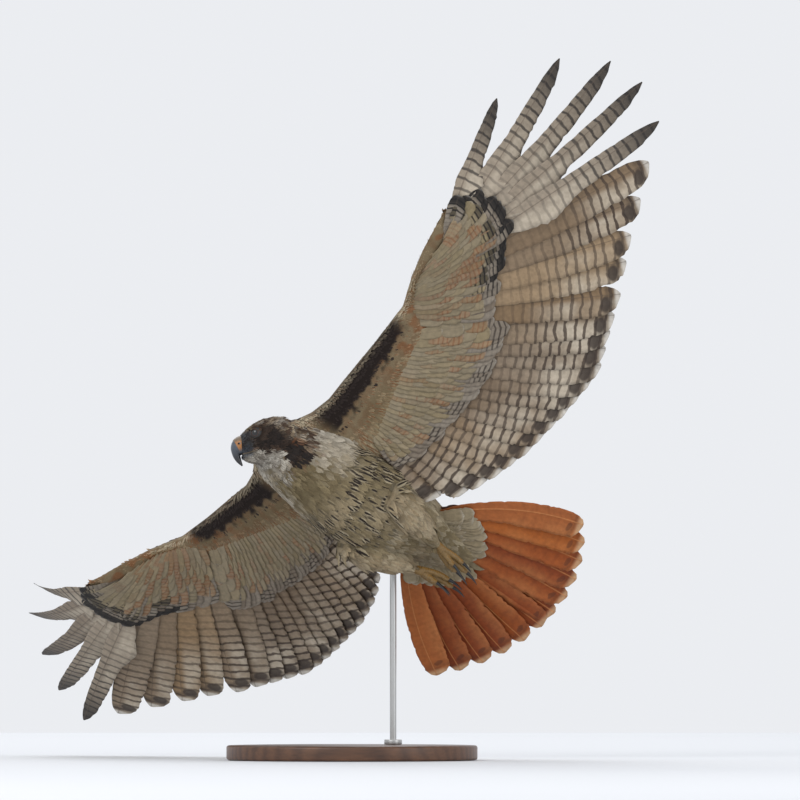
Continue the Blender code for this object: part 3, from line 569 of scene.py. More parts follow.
tailLook = {
    "webFrom": 0.02, "webTo": 0.22, "paleFrom": 0.0, "paleTo": 1.0, "pale": 0.42,
    "paleColour": plumage["tailPale"],
    "chevron": -2.0, "wobble": 0.9, "spacing": 1.5, "barFrom": 0.5, "barTo": 0.95, "barZone": (12.0, 4.0),
    "blob": 0.45, "blobPlace": (0.9, 1.5), "blobSize": (0.62, 0.30), "commaTip": 0.0,
    "bandReach": 8.0, "band": ((0.0, 0.0), (0.13, 0.0), (0.16, 0.30), (0.19, 0.30), (0.23, 0.0)),
    "bandColour": plumage["tailBand"], "fringe": (0.35, 1.05, 0.75), "fringeColour": plumage["tailTip"],
    "shaft": 0.65, "shaftColour": plumage["tailPale"],
}
wingVaneFinish = flightFinish("keratin vane, wing", wingLook)
fingerVaneFinish = flightFinish("keratin vane, wing finger", fingerLook)
tailVaneFinish = flightFinish("keratin vane, tail", tailLook)
covertFinish = flightFinish("keratin vane, wing covert", covertLook)
softFinish = flightFinish("keratin vane, tail covert", softLook)
coatFinish = tuftFinish("keratin contour feathers", 0.80, 0.25)
headFinish = tuftFinish("keratin head feathers", 0.85, 0.15)


# skin: one closed form under the coat, in place of every node of flesh
skinPlan = {
    # depth below the solids' surface
    "body": 0.34, "head": 0.16, "wing": 0.20, "leg": 0.35,
    "voxel": 0.17, "soften": 0.6, "passes": 5,
    "spans": (4.0, 6.0, 8.5, 12.0, 17.0, 21.0, 22.8, 25.0, 27.0, 31.0, 34.8, 36.6),
    "browPlace": (0.15, 0.30, 0.70), "browSize": (1.1, 0.42, 0.20),  # brow ridge, from the eye's centre
}


def wingCore(side):
    sections, depth = [], skinPlan["wing"]
    for span in skinPlan["spans"]:
        x, height, chord, thick = along(wingRows, span)
        middle = height - 0.035 * chord + 0.1 * thick
        sections.append((span, -(x - chord * 0.48), middle, chord / 2 - depth, thick * 0.86 - depth * 0.6, 0))
    turn = Matrix(((0, -1, 0, 0), (side, 0, 0, 0), (0, 0, 1, 0), (0, 0, 0, 1)))
    return sweptForm("wingCore", sections, 20, turn)


def makeBrow(side):
    deselect()
    bpy.ops.mesh.primitive_uv_sphere_add(segments=20, ring_count=12, radius=1)
    brow = bpy.context.object
    x, y, z = np.array(eyePlace) + skinPlan["browPlace"]
    size = Matrix.Diagonal((*skinPlan["browSize"], 1))
    brow.data.transform(headToBird @ Matrix.Translation((x, side * y, z)) @ size)
    return brow


def makeSkin():
    deep = skinPlan["body"]
    parts = [sweptForm("skin", [(x, 0, z, w - deep, d - deep, 0) for x, z, w, d in bodyRows], 32)]
    deep = skinPlan["head"]
    parts.append(sweptForm("headForm", [(x, 0, z, w - deep, d - deep, 0) for x, z, w, d in headRows],
                           32, headToBird))
    deep = skinPlan["leg"]
    for side in sides.values():
        parts.append(wingCore(side))
        parts.append(sweptForm("legForm", [(x, y * side, z, r - deep, r - deep, 0) for x, y, z, r in legRows], 20))
        parts.append(makeBrow(side))
    pick(*parts)
    bpy.ops.object.join()
    skin = bpy.context.object
    applyModifier(skin, "REMESH", mode="VOXEL", voxel_size=skinPlan["voxel"])
    applyModifier(skin, "SMOOTH", factor=skinPlan["soften"], iterations=skinPlan["passes"])
    return skin


skin = makeSkin()
print("skin", len(skin.data.polygons) * 2, "triangles")


def readVectors(items, name):
    values = np.empty(len(items) * 3)
    items.foreach_get(name, values)
    return values.reshape(-1, 3)


def inHead(points):
    return (points - np.array(headPlace)) @ np.array(headTurn).T


# measures: 1 on the surface of the form, less inside it
def bodyMeasure(points):
    z, w, d = along(bodyRows, points[:, 0])
    return np.sqrt((points[:, 1] / w) ** 2 + ((points[:, 2] - z) / d) ** 2)


def headMeasure(local):
    z, w, d = along(headRows, local[:, 0])
    inside = np.sqrt((local[:, 1] / w) ** 2 + ((local[:, 2] - z) / d) ** 2)
    return np.where((local[:, 0] < -3.7) | (local[:, 0] > 3.6), np.inf, inside)


# where each spot of the skin belongs, and how its feathers lie
spanTable = np.linspace(0, quills - 1, 200)
spanRoots = np.array([blendBetween(rootSpans, k) for k in spanTable])
spanLie = np.array([(quillPoint(k, 0.25) - quillPoint(k, 0.0)).normalized() for k in spanTable])
coatRegions = {
    "face": (-0.5, 3.4), "headBack": -2.6,  # face: from x forwards, within a distance of the head's centre
    "legFront": -9.5, "legTop": -3.8, "legSide": 7.5,
    "legLie": (-0.96, -0.22, -0.10),
    "rearRise": 0.55, "rear": (0.40, 0.70),  # towards the rear of a wing the feathers leave the skin
    "steepest": 0.30,  # where feathers would stand out of the skin it stays bare
}


def lieOfCoat(points, normals):
    local = inHead(points)
    x, y, z = points.T
    span, onSide = np.abs(y), np.sign(y)
    faceFrom, faceReach = coatRegions["face"]
    nearFace = (local[:, 0] > faceFrom) & (np.linalg.norm(local, axis=1) < faceReach)
    isHead = ((headMeasure(local) < 1.05) & (local[:, 0] > coatRegions["headBack"])) | nearFace
    isBody = (bodyMeasure(points) < 1.04) & ~isHead
    isLeg = (x < coatRegions["legFront"]) & (z < coatRegions["legTop"]) & (span < coatRegions["legSide"])
    isLeg &= ~isHead & ~isBody
    isWing = ~isHead & ~isBody & ~isLeg
    back = np.array((-1.0, 0.0, 0.0))
    flow = np.tile(back, (len(points), 1))
    nape = ramp(local[:, 0], -0.5, -2.8)[:, None]
    flow[isHead] = (nape * (back + headForward) - headForward)[isHead]
    flow[isLeg] = coatRegions["legLie"]
    for axis in range(3):
        flow[isWing, axis] = np.interp(span[isWing], spanRoots, spanLie[:, axis])
    flow[isLeg | isWing, 1] *= onSide[isLeg | isWing]
    flow = unit(flow)
    lead, height, chord, thick = along(wingRows, span)
    level = coatRegions["rearRise"] * ramp((lead - x) / chord, *coatRegions["rear"]) * isWing
    flow -= normals * (flow * normals).sum(1)[:, None] * (1 - level)[:, None]
    size = np.linalg.norm(flow, axis=1)[:, None]
    flow = np.where(size < coatRegions["steepest"], 0, flow / np.maximum(size, 1e-6))
    return isHead, isBody, isLeg, isWing, flow


# markings, shared by skin and coat
markings = {
    # along the body, from where a mark starts to where it is full
    "breast": (-7.0, -1.5), "creamBelly": (-3.0, -8.0), "streaksStart": (-2.5, -5.5), "streaksEnd": (-12.5, -15.5),
    "rump": (-17.5, -21.0),
    # dark patch on the side of the head, in the head's frame: x and height along its upper and lower edge
    "patchTop": ((-4.4, -2.0), (-3.2, -1.2), (-1.9, -0.4), (-0.8, 0.9), (-0.2, 1.5), (0.8, 1.75), (1.7, 1.3),
                 (2.2, 0.3)),
    "patchBase": ((-4.6, -2.9), (-3.8, -3.6), (-2.4, -4.0), (-1.4, -3.7), (-1.1, -1.95), (-0.5, -1.75),
                  (2.6, -0.80)),
    # patagial bar: its rear edge as a share of the chord, and where it starts and stops along the span
    "barRear": (0.26, 0.36), "barStart": (4.5, 7.0), "barStop": (20.0, 22.0),
}

def bodyMarks(points, rough, fine):
    # olive breast between whitish sides that are painted rim light, buff belly with a band of dark streaks across
    # it, brown back
    x, y, z = points.T
    height, wide, deep = along(bodyRows, x)
    out, top = np.abs(y) / wide, ramp((z - height) / deep, 0.05, 0.45)
    # painted rim light: the breast's whitish sides, alike on both sides
    paintedRimLitSide = mix(mix(colour["white"], colour["buff"], 0.30 + 0.35 * rough), colour["grey"], 0.3 * fine)
    breast = mix(colour["deepOlive"], colour["olive"], fine)
    breast = mix(breast, paintedRimLitSide, ramp(out + 0.30 * (fine - 0.5), 0.42, 0.90))
    belly = mix(colour["buff"], colour["olive"], 0.15 + 0.7 * rough)
    belly = mix(belly, breast, ramp(x, *markings["breast"]))
    belly = mix(belly, colour["cream"], 0.45 * ramp(fine, 0.55, 0.95) * ramp(x, *markings["creamBelly"]))
    tint = mix(belly, mix(colour["back"], colour["backEdge"], 0.30 * fine), top)
    tint = mix(tint, colour["tailPale"] * 0.7, 0.6 * ramp(x, *markings["rump"]) * top)
    band = ramp(x, *markings["streaksStart"]) * (1 - ramp(x, *markings["streaksEnd"])) * (1 - top)
    streaks = band * (0.10 + 0.90 * ramp(fine + 0.5 * ramp(out, 0.1, 0.9), 0.50, 0.95))
    return tint, np.maximum(np.maximum(streaks, top * 0.5), 0.10)

def headMarks(points, rough, fine):
    # mottled crown and nape, grey lores, black from the eye down to the side of the neck, pale chin
    local = inHead(points)
    hx, hy, hz = local.T
    speck = grain(points, 0.9, 4)
    mottled = mix(colour["brown"], colour["crown"], ramp(speck, 0.25, 0.75))
    mottled = mix(mottled, colour["white"], 0.30 * ramp(fine, 0.6, 0.95))
    mottled = mix(mottled, colour["rufous"], 0.55 * ramp(rough, 0.72, 0.95))
    chin = mix(colour["white"], colour["grey"], 0.3 + 0.5 * speck)
    chin = mix(chin, colour["brown"], 0.35 * ramp(fine, 0.6, 0.9))
    loose = 0.55 * (fine - 0.5) + 0.75 * (speck - 0.5)
    upper = np.interp(hx, *np.transpose(markings["patchTop"]))
    lower = np.interp(hx, *np.transpose(markings["patchBase"]))
    dark = ramp(upper - hz + loose, -0.35, 0.45) * ramp(hz - lower + loose, -0.3, 0.35)
    dark *= ramp(hx + loose, -5.0, -4.0) * ramp(np.abs(hy), 0.35, 1.1)
    dark *= 1 - 0.25 * ramp(-hx, 0.6, 2.2) * ramp(hz, -1.2, 0.2)
    lores = ramp(hx, 1.9, 2.4) * (1 - ramp(hz, 1.3, 1.8)) * ramp(hz, -1.0, -0.6)
    throat = ramp(lower - hz, -0.1, 0.3) * ramp(hx, -1.7, -1.0)
    tint = mix(mix(mottled, chin, throat), mix(colour["lores"], colour["cheek"], 0.6 * speck), lores)
    darkTint = mix(colour["cheek"], colour["darkBrown"], 0.8 * speck)
    darkTint = mix(darkTint, colour["brown"], 0.5 * ramp(fine, 0.6, 0.95))
    tint = mix(tint, darkTint, dark * (1 - 0.6 * lores))
    tint = mix(tint, colour["slate"], 0.8 * ramp(hx, 2.4, 2.9) * ramp(-hz, 0.0, 0.5) * ramp(hz, -1.7, -1.2))
    mark = mix(colour["darkBrown"], colour["ink"], 0.5 + 0.5 * dark)
    # how far the head's tints reach over the neck
    reach = np.linalg.norm(local + (1.2, 0, 0), axis=1)
    neck = 1 - ramp(reach + 1.1 * (fine - 0.5), 3.9, 5.2)
    neck = np.maximum(neck * np.maximum(ramp(hz, -2.6, -1.2), throat * 0.8), dark * (reach < 6))
    return tint, mark, 0.30 + 0.5 * speck, neck

def wingMarks(points, normals, rough, fine):
    # above dark brown with pale edges; below buff, with the dark patagial bar behind the leading edge
    span = np.abs(points[:, 1])
    lead, height, chord, thick = along(wingRows, span)
    behind = (lead - points[:, 0]) / chord
    above = mix(colour["back"], colour["backEdge"], ramp(fine, 0.55, 0.95) * 0.6)
    below = mix(colour["buff"], colour["olive"], 0.3 + 0.5 * rough)
    below = mix(below, colour["cream"], 0.35 * ramp(behind, 0.5, 0.95) * ramp(fine, 0.3, 0.8))
    below = mix(below, colour["rufous"], 0.55 * ramp(grain(points, 2.2, 7), 0.62, 0.95) * ramp(span, 12, 20))
    below = mix(below, colour["cream"], 0.7 * (1 - ramp(behind, 0.02, 0.08)))
    bar = (1 - ramp(behind + 0.10 * (fine - 0.5), *markings["barRear"])) * ramp(behind, -0.02, 0.04)
    bar *= ramp(span, *markings["barStart"]) * (1 - ramp(span, *markings["barStop"]))
    below = mix(below, colour["patagium"], bar)
    isBelow = normals[:, 2:] < 0.15
    mark = mix(np.where(isBelow, colour["rufous"] * 0.55, colour["darkBrown"]), colour["patagium"], bar)
    strength = np.where(isBelow[:, 0], 0.30 + 0.45 * ramp(fine, 0.5, 0.9), 0.75)
    return np.where(isBelow, below, above), mark, strength

def markingsAt(points, normals):
    isHead, isBody, isLeg, isWing, flow = lieOfCoat(points, normals)
    rough, fine = grain(points, 5.0, 1), grain(points, 1.6, 2)
    plain = np.tile(colour["buff"], (len(points), 1))
    mark = np.tile(colour["streak"], (len(points), 1))
    strength = np.zeros(len(points))
    plain[isBody], strength[isBody] = [part[isBody] for part in bodyMarks(points, rough, fine)]
    headTint, headMark, headStrength, neck = headMarks(points, rough, fine)
    neck[isHead] = 1
    onCoat = isHead | isBody
    plain[onCoat] = mix(plain, headTint, neck)[onCoat]
    mark[onCoat] = mix(mark, headMark, neck)[onCoat]
    strength[onCoat] = mix(strength[:, None], headStrength[:, None], neck)[onCoat, 0]
    wing = wingMarks(points, normals, rough, fine)
    plain[isWing], mark[isWing], strength[isWing] = [part[isWing] for part in wing]
    # legs: plain buff trousers
    plain[isLeg] = mix(mix(colour["buff"], colour["olive"], rough), colour["cream"], 0.35 * fine)[isLeg]
    mark[isLeg] = mix(colour["rufous"], colour["brown"], 0.5)
    strength[isLeg] = 0.16
    return plain, mark, strength

# coat of contour feathers
def pickRoots(points, spacing, seed):
    # thins the spots until none is nearer to another than its spacing
    cells, kept = {}, []
    keys = np.floor(points / float(np.max(spacing))).astype(int)
    around = [(dx, dy, dz) for dx in (-1, 0, 1) for dy in (-1, 0, 1) for dz in (-1, 0, 1)]
    for i in np.random.default_rng(seed).permutation(len(points)):
        x, y, z = keys[i].tolist()
        gaps = (points[i] - points[j] for dx, dy, dz in around for j in cells.get((x + dx, y + dy, z + dz), ()))
        if not any(gap @ gap < spacing[i] ** 2 for gap in gaps):
            cells.setdefault((x, y, z), []).append(i)
            kept.append(i)
    return np.array(kept)

# regions on the bake map: left, bottom, width, height; the right side and a wing's upper face stand above
atlas = {"body": (0.02, 0.52, 0.46, 0.46), "head": (0.52, 0.52, 0.46, 0.46), "wing": (0.02, 0.02, 0.76, 0.11),
         "leg": (0.80, 0.02, 0.18, 0.22), "rightSide": 0.24, "upperFace": 0.12, "tuft": 0.003}

def unwrapSpot(points, normals, region):
    # root's place on a simple unrolling of the skin
    isHead, isBody, isLeg, isWing, flow = region
    x, y, z = points.T
    local = inHead(points)
    lead, height, chord, thick = along(wingRows, np.abs(y))
    rightSide, upperFace = atlas["rightSide"] * (y <= 0), atlas["upperFace"] * (normals[:, 2] >= 0)
    turn = 2 * math.pi
    spots = np.zeros((len(points), 2))
    for name, chosen, u, v, up in (
        ("body", isBody, np.arctan2(y, -(z + 2.8)) / turn + 0.5, (x + 28) / 32, 0),
        ("head", isHead, np.arctan2(local[:, 1], -local[:, 2]) / turn + 0.5, (local[:, 0] + 3.8) / 7.6, 0),
        ("wing", isWing, np.abs(y) / 40, (lead - x + 0.5) / (chord + 1), rightSide + upperFace),
        ("leg", isLeg, np.arctan2(np.abs(y) - 3.7, -(z + 6.6)) / turn + 0.5, (x + 21) / 12, rightSide),
    ):
        left, bottom, width, tall = atlas[name]
        places = np.stack([left + width * np.clip(u, 0, 1), bottom + up + tall * np.clip(v, 0, 1)], 1)
        spots[chosen] = places[chosen]
    return spots

coats = {
    # distance between roots, then length, width, lift and bend of a feather, its random swing and its columns
    "bodyCoat": {"spacing": 0.37, "length": 2.1, "width": 0.86, "lift": 0.27, "bend": 0.045, "swing": 0.10,
                 "columns": 5, "slot": "body_feathers"},
    "headCoat": {"spacing": 0.165, "length": 0.78, "width": 0.27, "lift": 0.24, "bend": 0.12, "swing": 0.16,
                 "columns": 3, "slot": "head_feathers"},
    "legCoat": {"spacing": 0.32, "length": 1.9, "width": 0.62, "lift": 0.26, "bend": 0.09, "swing": 0.10,
                "columns": 5, "slot": "body_feathers"},
    "wingCoat": {"spacing": 0.36, "length": 1.5, "width": 0.78, "lift": 0.18, "bend": 0.08, "swing": 0.10,
                 "columns": 5, "slot": "wing_feathers"},
}
tuftPlan = {
    "rows": (0, 0.2, 0.45, 0.7, 0.88, 1.0), "widths": (0.45, 0.85, 1.0, 0.92, 0.62, 0.14),
    "sunk": 0.06, "droop": 0.22, "ragged": 0.05, "notch": 1.2, "variety": 0.12,
}
bareSpots = {"eye": 0.92, "bill": 3.3, "tailEnd": -25.5, "steep": 0.5}

def makeTufts(name, points, normals, region, plan, scale, length, bend):
    count, flow = len(points), region[4]
    length = length * dice.uniform(0.85, 1.15, count)
    width = plan["width"] * scale * dice.uniform(0.85, 1.15, count)
    swing = dice.normal(0, plan["swing"], count)
    lift = plan["lift"] * scale * dice.uniform(0.7, 1.3, count)
    rows, widths = np.array(tuftPlan["rows"]), np.array(tuftPlan["widths"])
    columns = np.linspace(-1, 1, plan["columns"])
    flow = flow + np.cross(flow, normals) * swing[:, None]
    flow /= np.maximum(np.linalg.norm(flow, axis=1), 1e-6)[:, None]
    across = np.cross(flow, normals)
    # the shaft rises from under the skin and bends back to it
    onward = length[:, None] * rows
    rise = lift[:, None] * rows * (1 - 0.45 * rows) - tuftPlan["sunk"] - bend[:, None] * onward ** 2 / 2
    shaft = points[:, None] + normals[:, None] * rise[..., None] + flow[:, None] * onward[..., None]
    # the webs droop from it and end in a ragged edge
    reach = width[:, None, None] * widths[None, :, None] * columns / 2
    ragged = dice.normal(0, tuftPlan["ragged"], (count, len(rows), len(columns))) * length[:, None, None]
    ragged[:, :2] = 0
    notch = tuftPlan["ragged"] * tuftPlan["notch"] * columns ** 2 * onward[..., None]
    spots = shaft[:, :, None] + across[:, None, None] * reach[..., None]
    spots -= normals[:, None, None] * (tuftPlan["droop"] * np.abs(reach * columns))[..., None]
    spots += flow[:, None, None] * (ragged - notch)[..., None]
    grid = len(rows) * len(columns)
    index = np.arange(grid).reshape(len(rows), len(columns))
    quads = np.stack([index[:-1, :-1], index[:-1, 1:], index[1:, 1:], index[1:, :-1]], -1).reshape(-1, 4)
    faces = (np.arange(count)[:, None, None] * grid + quads).reshape(-1, 4)
    own = np.stack(np.broadcast_arrays(columns / 2 + 0.5, rows[:, None]), -1).reshape(1, -1, 2)
    patch = unwrapSpot(points, normals, region)[:, None] + (own - 0.5) * atlas["tuft"]
    maps = {"vane": np.tile(own, (count, 1, 1)).reshape(-1, 2), "OFBake": patch.reshape(-1, 2)}
    plain, mark, strength = markingsAt(points, normals)
    shade = dice.uniform(1 - tuftPlan["variety"], 1 + tuftPlan["variety"], count)
    tints = {"plain": np.repeat(np.column_stack([plain * shade[:, None], np.ones(count)]), grid, 0),
             "mark": np.repeat(np.column_stack([mark, strength]), grid, 0)}
    obj = meshFromArrays(name, spots.reshape(-1, 3), faces, maps, tints)
    dress(obj, headFinish if name == "headCoat" else coatFinish)
    print(name, count, "feathers,", len(faces) * 2, "triangles")

def coatScale(kind, points):
    # feathers are smaller on the face, the throat, the leading edge and the hand
    if kind == "headCoat":
        return np.clip(0.72 + 0.22 * (2.6 - inHead(points)[:, 0]) / 2.0, 0.62, 1.5)
    if kind == "bodyCoat":
        return 0.62 + 0.38 * ramp(points[:, 0], 2.5, -4.0)
    if kind == "wingCoat":
        span = np.abs(points[:, 1])
        lead, height, chord, thick = along(wingRows, span)
        return (0.52 + 0.55 * np.clip((lead - points[:, 0]) / chord, 0, 1)) * (1 - 0.35 * ramp(span, 21.0, 30.0))
    return np.ones(len(points))

def makeCoats():
    centres, normals = readVectors(skin.data.polygons, "center"), readVectors(skin.data.polygons, "normal")
    region = lieOfCoat(centres, normals)
    isHead, isBody, isLeg, isWing, flow = region
    local, (x, y, z) = inHead(centres), eyePlace
    eyeGap = np.minimum(*[np.linalg.norm(local - (x, side * y, z), axis=1) for side in sides.values()])
    bare = isHead & ((eyeGap < bareSpots["eye"]) | (local[:, 0] > bareSpots["bill"]))
    bare |= isBody & (centres[:, 0] < bareSpots["tailEnd"])
    bare |= np.linalg.norm(flow, axis=1) < bareSpots["steep"]
    onLeft = centres[:, 1] > 0
    for name, chosen in (("bodyCoat", isBody), ("headCoat", isHead), ("legCoat", isLeg),
                         ("wingCoat_left", isWing & onLeft), ("wingCoat_right", isWing & ~onLeft)):
        kind = name.split("_")[0]
        plan = coats[kind]
        spots = np.flatnonzero(chosen & ~bare)
        spots = spots[pickRoots(centres[spots], plan["spacing"] * coatScale(kind, centres[spots]), 3)]
        scale = coatScale(kind, centres[spots])
        length, bend = plan["length"] * scale, np.full(len(spots), plan["bend"])
        if kind == "wingCoat":
            # longer and straighter towards the rear, where they run out over the coverts
            lead, height, chord, thick = along(wingRows, np.abs(centres[spots, 1]))
            rear = ramp((lead - centres[spots, 0]) / chord, 0.45, 0.75)
            length *= 1 + 0.8 * rear
            bend *= 1 - 0.85 * rear
        picked = tuple(part[spots] for part in region)
        makeTufts(name, centres[spots], normals[spots], picked, plan, scale, length, bend)

# flight feathers and the rows of coverts over them
def vaneLine(k, rows, reach=1.0, lift=0.0, rootLift=None, start=0.0):
    rootLift = lift if rootLift is None else rootLift
    line, normals = [], []
    for share in np.linspace(0, 1, rows) ** vanePlan["closer"]:
        t = start + (reach - start) * share
        normal = quillNormal(k, t)
        rise = rootLift + (lift - rootLift) * min(1, share / 0.4)
        line.append(quillPoint(k, t) + normal * rise)
        normals.append(normal)
    return line, normals


# raised shaft, thickness and fraying of each kind of vane
vaneForms = {"flight": (0.05, 0.030, 0.10), "covert": (0.02, 0.026, 0.12), "tail": (0.06, 0.030, 0.10),
             "tailCovert": (0.01, 0.026, 0.22)}
flightPlan = {"rows": 56, "fingers": 5, "fingerWidth": 4.7, "outerWidth": 3.8}

def makeFlightFeathers(label, side):
    vanes, fingers = [], []
    closed = quills - flightPlan["fingers"]
    places = list(strips(closed))
    for k in range(closed):
        # tan near the wrist and near the body
        tan = 0.25 + 0.75 * math.exp(-((k - 16.5) / 2.2) ** 2) + 0.35 * math.exp(-((k - 4) / 3) ** 2)
        below = mix(colour["vane"], colour["vaneTan"], min(1, tan) * dice.uniform(0.45, 0.85))
        below = mix(below, colour["vanePale"], 0.18 * dice.random())
        above = mix(colour["back"], colour["vane"], 0.18)
        line, normals = vaneLine(k, flightPlan["rows"])
        width = 3.6 + 0.8 * min(1, k / 5)
        vanes.append(vaneSheet("blade", line, normals, width, side, vaneForms["flight"], (above, below),
                               (colour["bar"], dice.uniform(0.60, 0.95)), places[k]))
    joinVanes("flightFeathers_" + label, vanes, wingVaneFinish)
    places = list(strips(flightPlan["fingers"]))
    for k in range(closed, quills):
        below = mix(colour["vane"], colour["vanePale"], 0.25 + 0.2 * dice.random())
        line, normals = vaneLine(k, flightPlan["rows"])
        width = flightPlan["outerWidth" if k == quills - 1 else "fingerWidth"]
        fingers.append(vaneSheet("finger", line, normals, width, side, vaneForms["flight"],
                                 (colour["back"], below), (colour["finger"], 0.85), places[k - closed]))
    joinVanes("wingFingers_" + label, fingers, fingerVaneFinish)

# rows of coverts: step between feathers, start and reach along the flight feathers, lift over the
# greater row, width
covertRows = {
    "greater": (0.5, 0.0, 0.42, 0.0, 3.0), "greaterMedian": (0.62, 0.10, 0.335, 0.07, 2.5),
    "median": (0.62, 0.05, 0.265, 0.12, 2.4), "lesserMedian": (0.60, 0.0, 0.20, 0.16, 2.2),
    "lesser": (0.58, -0.05, 0.135, 0.17, 2.0), "marginal": (0.56, -0.10, 0.075, 0.17, 1.8),
}

def makeCoverts(label, side):
    # the greater under primary coverts end in the black comma
    vanes, tiers = {1: [], -1: []}, []
    for sign in (1, -1):
        for i, (tier, (step, start, reach, over, width)) in enumerate(covertRows.items()):
            last = quills - 0.3 * i - (1.3 if sign > 0 else 0.5)
            for k in np.arange(0.17 * i % step, last, step):
                tiers.append((sign, k, tier))
    places = list(strips(len(tiers), 8))
    for (sign, k, tier), place in zip(tiers, places):
        step, start, reach, over, width = covertRows[tier]
        great = tier == "greater"
        thinner = max(0, min(1, (k - secondaries) / 5))
        lift = 0.45 - 0.09 * thinner + over - 0.05 * (great and k % 1 > 0)
        root = 0.32 - 0.12 * thinner + (over - 0.05 if great else over - 0.10)
        reach *= 1.0 if k < secondaries - 0.5 else 0.81
        reach *= dice.uniform(0.93, 1.03) if great else dice.uniform(0.90, 1.08)
        line, normals = vaneLine(k, 18 if great else 11, reach, sign * lift, sign * root, start)
        if k > quills - 4:
            width *= 0.8
        if sign > 0:
            below = above = mix(colour["back"], colour["backEdge"], 0.10 + 0.45 * dice.random())
            mark = (colour["darkBrown"], 0.6)
        else:
            comma = ramp(float(k), 15.5, 17.5) * (great or 0.93 * (tier == "greaterMedian"
                                                                   and dice.random() < 0.6))
            hatched = ramp(math.sin(k * 1.9 + 0.6 * side) + 0.4 * dice.random(), -0.2, 0.6) * great
            soft = mix(colour["olive"], colour["buff"], 0.25 + 0.5 * dice.random())
            soft = mix(soft, colour["grey"], 0.35 * dice.random())
            grey = mix(colour["grey"], colour["vane"], 0.35 + 0.35 * dice.random())
            below = mix(grey, colour["white"], 0.12 * dice.random()) if great else soft
            above = below
            if great or comma:
                mark = (mix(colour["darkBrown"], colour["ink"], comma), max(0.12, 0.78 * hatched, comma))
            else:
                rusty = ramp(dice.random() + 0.5 * math.exp(-((k - 18) / 3.5) ** 2), 0.72, 1.05)
                below = above = mix(soft, colour["rufous"], 0.30 * rusty)
                mark = (mix(colour["brown"], colour["rufous"], 0.6), 0.55 * rusty)
        vanes[sign].append(vaneSheet("covert", line, normals, width, side, vaneForms["covert"], (above, below),
                                     mark, place))
    joinVanes("covertsAbove_" + label, vanes[1], covertFinish)
    joinVanes("covertsBelow_" + label, vanes[-1], covertFinish)


# tail
tailPlan = {
    "pairs": 6, "halfAngle": 32.5, "reach": 29.5, "rounded": 1.9, "centre": -10.3, "drop": -6.2,
    "root": (-19.3, -2.9), "flare": {1: 3.4, -1: 2.4}, "lie": (-0.166, 0.03, 1), "rows": 56, "width": 3.9,
    "covertStep": 0.30, "covertRows": 18, "covertWidth": 2.0,
}

def rectrixLine(pair, side, rows, reach=1.0, start=0.0, lift=0.0):
    f = (pair + 0.5) / tailPlan["pairs"]
    angle = math.radians(tailPlan["halfAngle"]) * (pair + 0.42) / (tailPlan["pairs"] - 0.58)
    radius = tailPlan["reach"] - tailPlan["rounded"] * f * f
    x, y = tailPlan["centre"] - radius * math.cos(angle), radius * math.sin(angle)
    tip = Vector((x, y, tailPlan["drop"] - 0.4 * f))
    flare, (rootX, rootHeight) = tailPlan["flare"][side], tailPlan["root"]
    root = Vector((rootX, 0.15 + 0.9 * flare * f, rootHeight - 0.1 * f))
    control = root.lerp(tip, 0.5) + Vector((0.9 * f, flare * f, 0.35))
    lift += 0.13 if side > 0 and pair == 0 else 0.0  # one of the middle feathers lies over the other
    normal = Vector(tailPlan["lie"]).normalized()
    line = []
    for share in np.linspace(0, 1, rows) ** vanePlan["closer"]:
        t = start + (reach - start) * share
        line.append(root * (1 - t) ** 2 + control * (2 * t * (1 - t)) + tip * t ** 2 + normal * lift)
    return line, [normal] * rows

def makeTail():
    vanes, pairs = [], tailPlan["pairs"]
    places = list(strips(pairs * 2))
    for side in sides.values():
        for pair in range(pairs):
            line, normals = rectrixLine(pair, side, tailPlan["rows"])
            bright = dice.random()
            below = mix(colour["tail"], colour["tailDeep"], 0.5 * dice.random())
            below = mix(below, colour["tailBright"], 0.55 * bright ** 2)
            if pair == pairs - 1:
                below = mix(below, colour["tailPale"], 0.30)
            vanes.append(vaneSheet("rectrix", line, normals, tailPlan["width"], side, vaneForms["tail"],
                                   (colour["tail"] * 0.8, below), (colour["tailDeep"], 0.16), places.pop()))
    joinVanes("tailFeathers", vanes, tailVaneFinish)
    # two tiers of soft tail coverts above and below, longest in the middle
    vanes = []
    plan = [(side, pair, sign, tier) for side in sides.values()
            for pair in np.arange(0, pairs - 1.0, tailPlan["covertStep"]) for sign in (1, -1) for tier in (0, 1)]
    places = list(strips(len(plan), 3))
    for side, pair, sign, tier in plan:
        reach = (0.50 if sign < 0 else 0.42) - 0.03 * pair - 0.012 * pair * (sign < 0)
        reach *= (1 - 0.3 * tier) * dice.uniform(0.82, 1.0)
        start, lift = 0.05 - 0.04 * tier, sign * (0.34 + 0.12 * tier)
        line, normals = rectrixLine(pair, side, tailPlan["covertRows"], reach, start, lift)
        if sign < 0:
            tint = mix(colour["buff"], colour["olive"], 0.7 * dice.random())
            tint = mix(tint, colour["cream"], 0.35 * dice.random())
        else:
            tint = mix(colour["back"], colour["tail"], 0.25)
        vanes.append(vaneSheet("covert", line, normals, tailPlan["covertWidth"], side, vaneForms["tailCovert"],
                               (tint, tint), (colour["brown"], 0.06), places.pop()))
    joinVanes("tailCoverts", vanes, softFinish)

